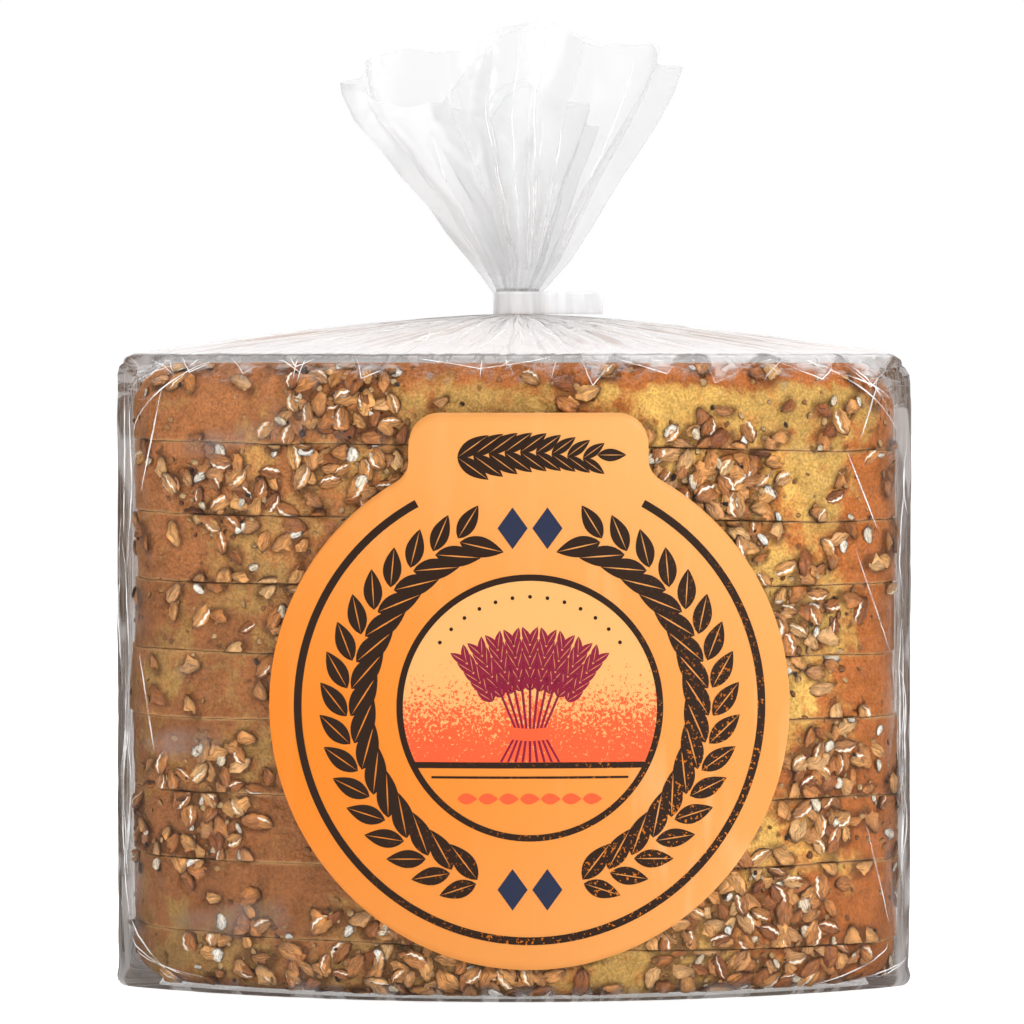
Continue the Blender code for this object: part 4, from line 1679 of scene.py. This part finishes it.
class LeafPrinter(Tool):
    """Prints many leaf shapes on the curved label."""

    STEPS = 12

    def __init__(self, centre: float, radius: float) -> None:
        """Builds the tree.

        Args:
            centre: Where the label's arc has its middle, along Y.
            radius: The arc's radius at the print.
        """
        super().__init__("print_leaves", {"Leaf": "Object", "Centre": "Float", "Radius": "Float"})
        self.arc = {"Centre": centre, "Radius": radius}
        sheet, given = self.sheet, self.given
        turn = sheet.join(0.0, self.held("turn"), 0.0)
        feeds = {
            "Points": sheet.add("GeometryNodeMeshToPoints", {"Mesh": given["Base"]}),
            "Instance": self.object_of("Leaf"),
            "Rotation": sheet.add("FunctionNodeEulerToRotation", {"Euler": turn}),
            "Scale": sheet.join(self.held("girth"), 1.0, self.held("length")),
        }
        instances = sheet.add("GeometryNodeInstanceOnPoints", feeds)
        x, _, z = sheet.split(sheet.add("GeometryNodeInputPosition"))
        depth = sheet.maths("SQRT", given["Radius"] ** 2.0 - x * x)
        self.close(instances, sheet.join(x, given["Centre"] - depth, z))

    def leaf(self, ink: bpy.types.Material, gap: float) -> bpy.types.Object:
        """A flat pointed leaf of unit length that stands on its lower tip.

        Args:
            ink: The leaf's ink.
            gap: Half the width of the gap up its middle.

        Returns:
            The template.
        """
        share = np.linspace(0.0, 1.0, self.STEPS)
        inner, outer = gap * np.sin(np.pi * share), 0.5 * np.sin(np.pi * share**0.85) ** 0.9
        across = np.concatenate([inner, outer, -outer, -inner])
        points = np.stack([across, np.zeros(len(across)), np.tile(share, 4)], 1)
        quads = strip_faces(self.STEPS)[:, ::-1]
        faces = np.concatenate([quads, quads + 2 * self.STEPS]).tolist()
        return piece_from("leaf_template", points, faces, ink)

    def leaves(self, name: str, places: np.ndarray, ink: bpy.types.Material, gap: float) -> None:
        """Prints the leaves of one motif.

        Args:
            name: The piece's name.
            places: For each leaf its x, z, turn, length and girth.
            ink: The ink.
            gap: Half the width of the gap in each leaf.
        """
        mesh = bpy.data.meshes.new(f"{name}_places")
        mesh.from_pydata(np.stack([places[:, 0], np.zeros(len(places)), places[:, 1]], 1).tolist(), [], [])
        hold(mesh, dict(zip(("turn", "length", "girth"), places[:, 2:].T)))
        values = self.arc | {"Leaf": self.leaf(ink, gap), "Finish": ink}
        hand_over(self.make(name, mesh, values), "label_paper")


@dataclass
class Label:
    """The round paper label with its tab, and the print, whose plan is in millimetres."""

    pack: Pack
    x: float = 2.75 * MM
    z: float = 51.2 * MM
    radius: float = 45.3 * MM
    tab: tuple[float, float, float] = (-18.2 * MM, 23.2 * MM, 102.1 * MM)
    corner: float = 5.4 * MM
    lift: float = 0.4 * MM
    thickness: float = 0.12 * MM
    print_lift: float = 0.05 * MM
    ring_radius: float = 40.3
    disc_radius: float = 22.5
    columns: int = 240
    rows: int = 56
    bar_turn: float = -math.radians(26.0)
    inks: Inks = field(default_factory=Inks)

    @property
    def arc(self) -> float:
        """The radius of the paper's outer face."""
        return self.pack.crown_radius + self.lift

    def on_dome(self, x: np.ndarray, z: np.ndarray, lift: float) -> np.ndarray:
        """Points on the label's arc, lifted off the paper's outer face."""
        return np.stack([x, self.pack.crown_centre - np.sqrt((self.arc + lift) ** 2 - x**2), z], -1)

    def printed(self, x: np.ndarray, z: np.ndarray, layer: float = 1.0) -> np.ndarray:
        """Points of the print, given in millimetres from the label's middle."""
        return self.on_dome(self.x + x * MM, self.z + z * MM, self.print_lift * layer)

    def limits(self, x: np.ndarray) -> tuple[np.ndarray, np.ndarray]:
        """The lower and upper edge of the label at some places across."""
        half = np.sqrt(np.maximum(self.radius**2 - (x - self.x) ** 2, 0.0))
        low, high = self.z - half, self.z + half
        left, right, top = self.tab
        inside = np.minimum(x - left, right - x)
        short = np.clip(self.corner - inside, 0.0, self.corner)
        tab_top = top - (self.corner - np.sqrt(self.corner**2 - short**2))
        fillet = 2.2 * MM
        near = np.clip(fillet + inside, 0.0, fillet)
        flare = high + fillet - np.sqrt(np.maximum(fillet**2 - near**2, 0.0))
        outside = np.where(inside > -fillet, flare, high)
        return low, np.where(inside >= 0.0, np.maximum(tab_top, high), outside)

    def build(self) -> None:
        """Makes the sheet and prints on it."""
        self.build_sheet()
        inks = self.inks
        dark, coral = inks.ink("ink_dark", inks.dark, 0.8), inks.ink("ink_coral", inks.coral)
        maroon, navy = inks.ink("ink_maroon", inks.maroon), inks.ink("ink_navy", inks.navy)
        self.build_disc()
        start = 0.5 * math.pi + math.radians(29.0)
        end = 0.5 * math.pi + math.tau - math.radians(29.0)
        self.ribbons("outer_ring", [self.circle(self.ring_radius, 1.35, start, end)], dark)
        self.ribbons("inner_ring", [self.circle(self.disc_radius, 1.1, 0.0, math.tau)], dark)
        self.ribbons("printed_bars", [self.bar(20.0, -9.9, 1.05), self.bar(17.0, -12.0, 0.4)], dark)
        printer = LeafPrinter(self.pack.crown_centre, self.arc + self.print_lift)
        printer.leaves("wreath", self.scaled(self.wreath()), dark, 0.035)
        printer.leaves("tab_sprig", self.scaled(self.sprig()), dark, 0.035)
        printer.leaves("sheaf_ears", self.scaled(self.sheaf()), maroon, 0.035)
        row = [(number * 3.6 - 1.7, -15.7, 0.5 * math.pi, 3.4, 1.9) for number in range(-3, 4)]
        printer.leaves("lower_grains", self.scaled(row), coral, 0.0)
        middles = [(-3.0, 31.0), (3.0, 31.0), (-3.0, -31.4), (3.0, -31.4)]
        diamond = np.array([[0.0, -3.6], [2.6, 0.0], [0.0, 3.6], [-2.6, 0.0]])
        self.spots("printed_diamonds", middles, diamond, navy)
        self.ribbons("sheaf_stalks", [self.stalk(number) for number in range(-4, 5)], maroon)
        x, bow = np.linspace(-3.4, 3.4, 9), 0.35 * np.cos(np.linspace(-1.4, 1.4, 9))
        edges = tuple(self.printed(x, level - bow, 1.6) for level in (-5.3, -3.2))
        self.ribbons("sheaf_band", [edges], coral)
        turns = np.linspace(0.0, math.tau, 10, endpoint=False)
        rays = np.radians(90.0 + 9.0 * np.arange(-6, 7))
        middles = list(zip(19.2 * np.cos(rays), 19.2 * np.sin(rays)))
        self.spots("printed_dots", middles, 0.34 * np.stack([np.cos(turns), np.sin(turns)], 1), dark)

    def ribbons(self, name: str, edges: list[Edges], ink: bpy.types.Material) -> None:
        """Prints lines that have a width.

        Args:
            name: The piece's name.
            edges: The two edges of each line, the second on the left of the first.
            ink: The ink.
        """
        points, faces, first = [], [], 0
        for pair in edges:
            faces += strip_faces(len(pair[0]), first).tolist()
            points += pair
            first += 2 * len(pair[0])
        hand_over(piece_from(name, np.concatenate(points), faces, ink), "label_paper")

    def spots(
        self, name: str, middles: list[tuple[float, ...]], outline: np.ndarray, ink: bpy.types.Material
    ) -> None:
        """Prints one small shape at several places.

        Args:
            name: The piece's name.
            middles: The places, in millimetres from the label's middle.
            outline: The shape's corners about its middle, in millimetres.
            ink: The ink.
        """
        count = len(outline)
        shape = np.append(outline, [[0.0, 0.0]], 0)
        points = [self.printed(x + shape[:, 0], z + shape[:, 1]) for x, z in middles]
        starts = np.arange(len(middles)) * (count + 1)
        faces = np.concatenate([fan_faces(start, count, start + count, True) for start in starts])
        hand_over(piece_from(name, np.concatenate(points), faces.tolist(), ink), "label_paper")

    def circle(self, radius: float, width: float, start: float, end: float) -> Edges:
        """The outer and inner edge of a line along a circle round the label's middle.

        Args:
            radius: The circle's radius, in millimetres.
            width: The line's width, in millimetres.
            start: Where it starts.
            end: Where it ends.

        Returns:
            The two edges.
        """
        turns = np.linspace(start, end, 181)
        reaches = (radius + width / 2, radius - width / 2)
        return tuple(self.printed(reach * np.cos(turns), reach * np.sin(turns)) for reach in reaches)

    def bar(self, half: float, level: float, width: float) -> Edges:
        """The two edges of a level line."""
        x = np.linspace(-half, half, 25)
        return self.printed(x, x * 0.0 + level - width / 2), self.printed(x, x * 0.0 + level + width / 2)

    def stalk(self, number: int) -> Edges:
        """The two edges of one of the sheaf's stalks, drawn in at the waist."""
        share = np.linspace(0.0, 1.0, 12)
        x = np.interp(share, [0.0, 0.35, 1.0], [number * 1.25, number * 0.55, number * 1.55])
        return self.printed(x + 0.22, 14.5 * share - 9.3), self.printed(x - 0.22, 14.5 * share - 9.3)

    def scaled(self, places: list[tuple[float, ...]]) -> np.ndarray:
        """Turns leaves placed in millimetres from the label's middle into places on it."""
        sizes = np.array([MM, MM, 1.0, MM, MM])
        return np.array(places) * sizes + np.array([self.x, self.z, 0.0, 0.0, 0.0])

    def build_sheet(self) -> None:
        """Makes the paper."""
        left, right, _ = self.tab
        near, corner = 0.02 * MM, np.linspace(0.0, self.corner, 9)[1:]
        edge = self.radius * np.sin(np.linspace(-0.5, 0.5, self.columns) * math.pi) + self.x
        fine = [left + corner, right - corner, left - corner * 0.4, right + corner * 0.4]
        x = np.unique(np.concatenate([edge, [left - near, left, right, right + near]] + fine))
        x[0], x[-1] = x[0] + near, x[-1] - near
        low, high = self.limits(x)
        z = low[:, None] + (high - low)[:, None] * np.linspace(0.0, 1.0, self.rows)
        wide = np.repeat(x, self.rows)
        count = len(wide)
        sides = [self.on_dome(wide, z.ravel(), lift) for lift in (0.0, -self.thickness)]
        grid = np.arange(count).reshape(-1, self.rows)
        front = np.stack([grid[:-1, :-1], grid[1:, :-1], grid[1:, 1:], grid[:-1, 1:]], -1).reshape(-1, 4)
        rim = np.concatenate([grid[:, 0], grid[-1, 1:], grid[::-1, -1][1:], grid[0, ::-1][1:-1]])
        after = np.roll(rim, -1)
        wall = np.stack([rim, rim + count, after + count, after], 1)
        faces = np.concatenate([front, front[:, ::-1] + count, wall]).tolist()
        made = piece_from("label_paper", np.concatenate(sides), faces, self.inks.sheet())
        hand_over(made, "label_paper", "label")

    def build_disc(self) -> None:
        """Prints the speckled upper part of the inner disc."""
        count = 41
        turns = np.repeat(np.linspace(self.bar_turn, 0.49 * math.pi, count), count)
        share = np.tile(np.linspace(-1.0, 1.0, count), count)
        radius = self.disc_radius
        points = self.printed(radius * np.cos(turns) * share, radius * np.sin(turns), 0.6)
        faces = np.concatenate([strip_faces(count, row * count) for row in range(count - 1)])
        hand_over(piece_from("inner_disc", points, faces.tolist(), self.inks.speckled()), "label_paper")

    def wreath(self) -> list[tuple[float, ...]]:
        """Two wheat ears that rise left and right round the inner disc."""
        places, middle = [], (self.ring_radius + self.disc_radius) / 2
        for side, step in product((-1.0, 1.0), range(17)):
            share = step / 16
            turn = math.radians(-73.0 + 140.0 * share)
            size = 8.6 - 1.6 * abs(share - 0.5)
            for lean, shift, scale in ((-0.62, -0.35, 1.0), (0.62, 0.35, 0.86)):
                reach = middle + shift
                x, z = side * reach * math.cos(turn), reach * math.sin(turn)
                places.append((x, z, side * (lean - turn), size * scale, size * scale * 0.46))
        return places

    def sprig(self) -> list[tuple[float, ...]]:
        """A lying sprig of grains on the tab."""
        places, level = [], 0.5 * math.pi
        for step, lean in product(range(9), (-0.62, 0.62)):
            size = 6.6 - 0.25 * step
            x, z = -12.5 + 2.7 * step, 43.2 + 0.9 * math.sin(step * 0.42)
            places.append((x, z, level + lean, size, size * 0.4))
        return places + [(11.6, 43.6, level, 5.0, 2.2)]

    def sheaf(self) -> list[tuple[float, ...]]:
        """The ears of the sheaf in the disc."""
        places = []
        for number, step, lean in product(range(-4, 5), range(5), (-0.42, 0.42)):
            tilt = number * 0.15
            x = number * 1.6 + math.sin(tilt) * step * 2.0
            z = 3.0 + (2.0 * step - 0.14 * number * number) * math.cos(tilt)
            places.append((x, z, tilt + lean, 3.3, 1.4))
        return places


@dataclass
class Studio:
    """The pale floor, the soft lights and the camera at the photo's angle."""

    pack: Pack
    distance: float = 850.0 * MM
    frame_width: float = 176.2 * MM
    aim_height: float = 85.0 * MM
    aim_x: float = -0.35 * MM
    sensor: float = 36.0

    def build(self) -> None:
        """Sets the floor, the world, the lights and the camera."""
        self.set_floor()
        self.set_world()
        self.set_lamps()
        self.set_camera()
        view = bpy.context.scene.view_settings
        view.view_transform = "Standard"
        cycles = bpy.context.scene.cycles
        cycles.transparent_max_bounces = 24
        cycles.max_bounces = 4
        cycles.diffuse_bounces = 2
        cycles.glossy_bounces = 2
        cycles.caustics_reflective = False

    def set_floor(self) -> None:
        """A large pale floor."""
        paint = Paint("pale_floor")
        mottle = paint.band(paint.noise(30.0), 0.3, 0.7, (0.86, 0.9))
        glow = {"Emission_Color": WHITE, "Emission_Strength": 0.55}
        surface = paint.body(Base_Color=paint.join(mottle, mottle, mottle), Roughness=0.7, **glow)
        corners = 6.0 * np.array([[-1.0, -1.0, 0.0], [1.0, -1.0, 0.0], [1.0, 1.0, 0.0], [-1.0, 1.0, 0.0]])
        piece_from("floor", corners, [(0, 1, 2, 3)], paint.done(surface))

    def set_world(self) -> None:
        """White behind the pack and greyer in front of it, so the film keeps its contrast."""
        world = bpy.data.worlds.new("studio")
        world.use_nodes = True
        sheet = Sheet(world.node_tree)
        sheet.tree.nodes.clear()
        _, y, z = sheet.split(sheet.add("ShaderNodeTexCoord", out="Generated"))
        level = sheet.band(y, -0.5, 0.6, (0.15, 1.0)) + sheet.band(z, 0.0, 0.8, (0.0, 0.35))
        lit = sheet.add("ShaderNodeBackground", {"Strength": level})
        plain = sheet.add("ShaderNodeBackground", {"Color": WHITE, "Strength": 1.0})
        seen = sheet.add("ShaderNodeLightPath", out="Is Camera Ray")
        sheet.add("ShaderNodeOutputWorld", {"Surface": sheet.over(seen, lit, plain)})
        bpy.context.scene.world = world

    def set_lamps(self) -> None:
        """A key from the right, a weaker fill from the left and a light above."""
        lamps = (
            ("key", (0.75, -0.85, 0.62), 0.32, 8.6),
            ("fill", (-0.95, -0.7, 0.4), 0.6, 2.8),
            ("top", (0.0, 0.15, 1.1), 0.7, 12.0),
        )
        target = Vector((0.0, 0.0, 0.07))
        for name, place, size, power in lamps:
            data = bpy.data.lights.new(name, "AREA")
            data.size = size
            data.energy = power
            lamp = bpy.data.objects.new(name, data)
            lamp.location = place
            lamp.rotation_euler = (target - Vector(place)).to_track_quat("-Z", "Y").to_euler()
            bpy.context.scene.collection.objects.link(lamp)

    def set_camera(self) -> None:
        """A long lens at the height of the bag's top edge."""
        data = bpy.data.cameras.new("camera")
        data.sensor_width = self.sensor
        data.lens = self.sensor * self.distance / self.frame_width
        data.clip_start = 0.05
        data.clip_end = 30.0
        camera = bpy.data.objects.new("camera", data)
        front = self.pack.bag_low.y
        place = Vector((self.aim_x, front - self.distance, self.pack.block_height))
        target = Vector((self.aim_x, front, self.aim_height))
        camera.location = place
        camera.rotation_euler = (target - place).to_track_quat("-Z", "Y").to_euler()
        bpy.context.scene.collection.objects.link(camera)
        bpy.context.scene.camera = camera


def main() -> None:
    """Builds the pack piece by piece."""
    logging.basicConfig(level=logging.INFO, format="%(message)s")
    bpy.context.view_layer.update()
    pack = Pack.measured()
    Studio(pack).build()
    loaf = Loaf(pack)
    skin = loaf.build()
    strewer = Strewer()
    for grain in bakery_grains():
        piece = strewer.strew(skin, grain)
        if grain.shape is GrainShape.KERNEL:
            loaf.shade_nooks(piece)
    bpy.data.objects.remove(skin, do_unlink=True)
    film, end = FilmBlock(pack), LooseEnd(pack)
    film.build()
    end.build()
    Creases(film, end, CreaseMaker()).build()
    NeckTape(pack).build()
    Label(pack).build()


if __name__ == "__main__":
    main()
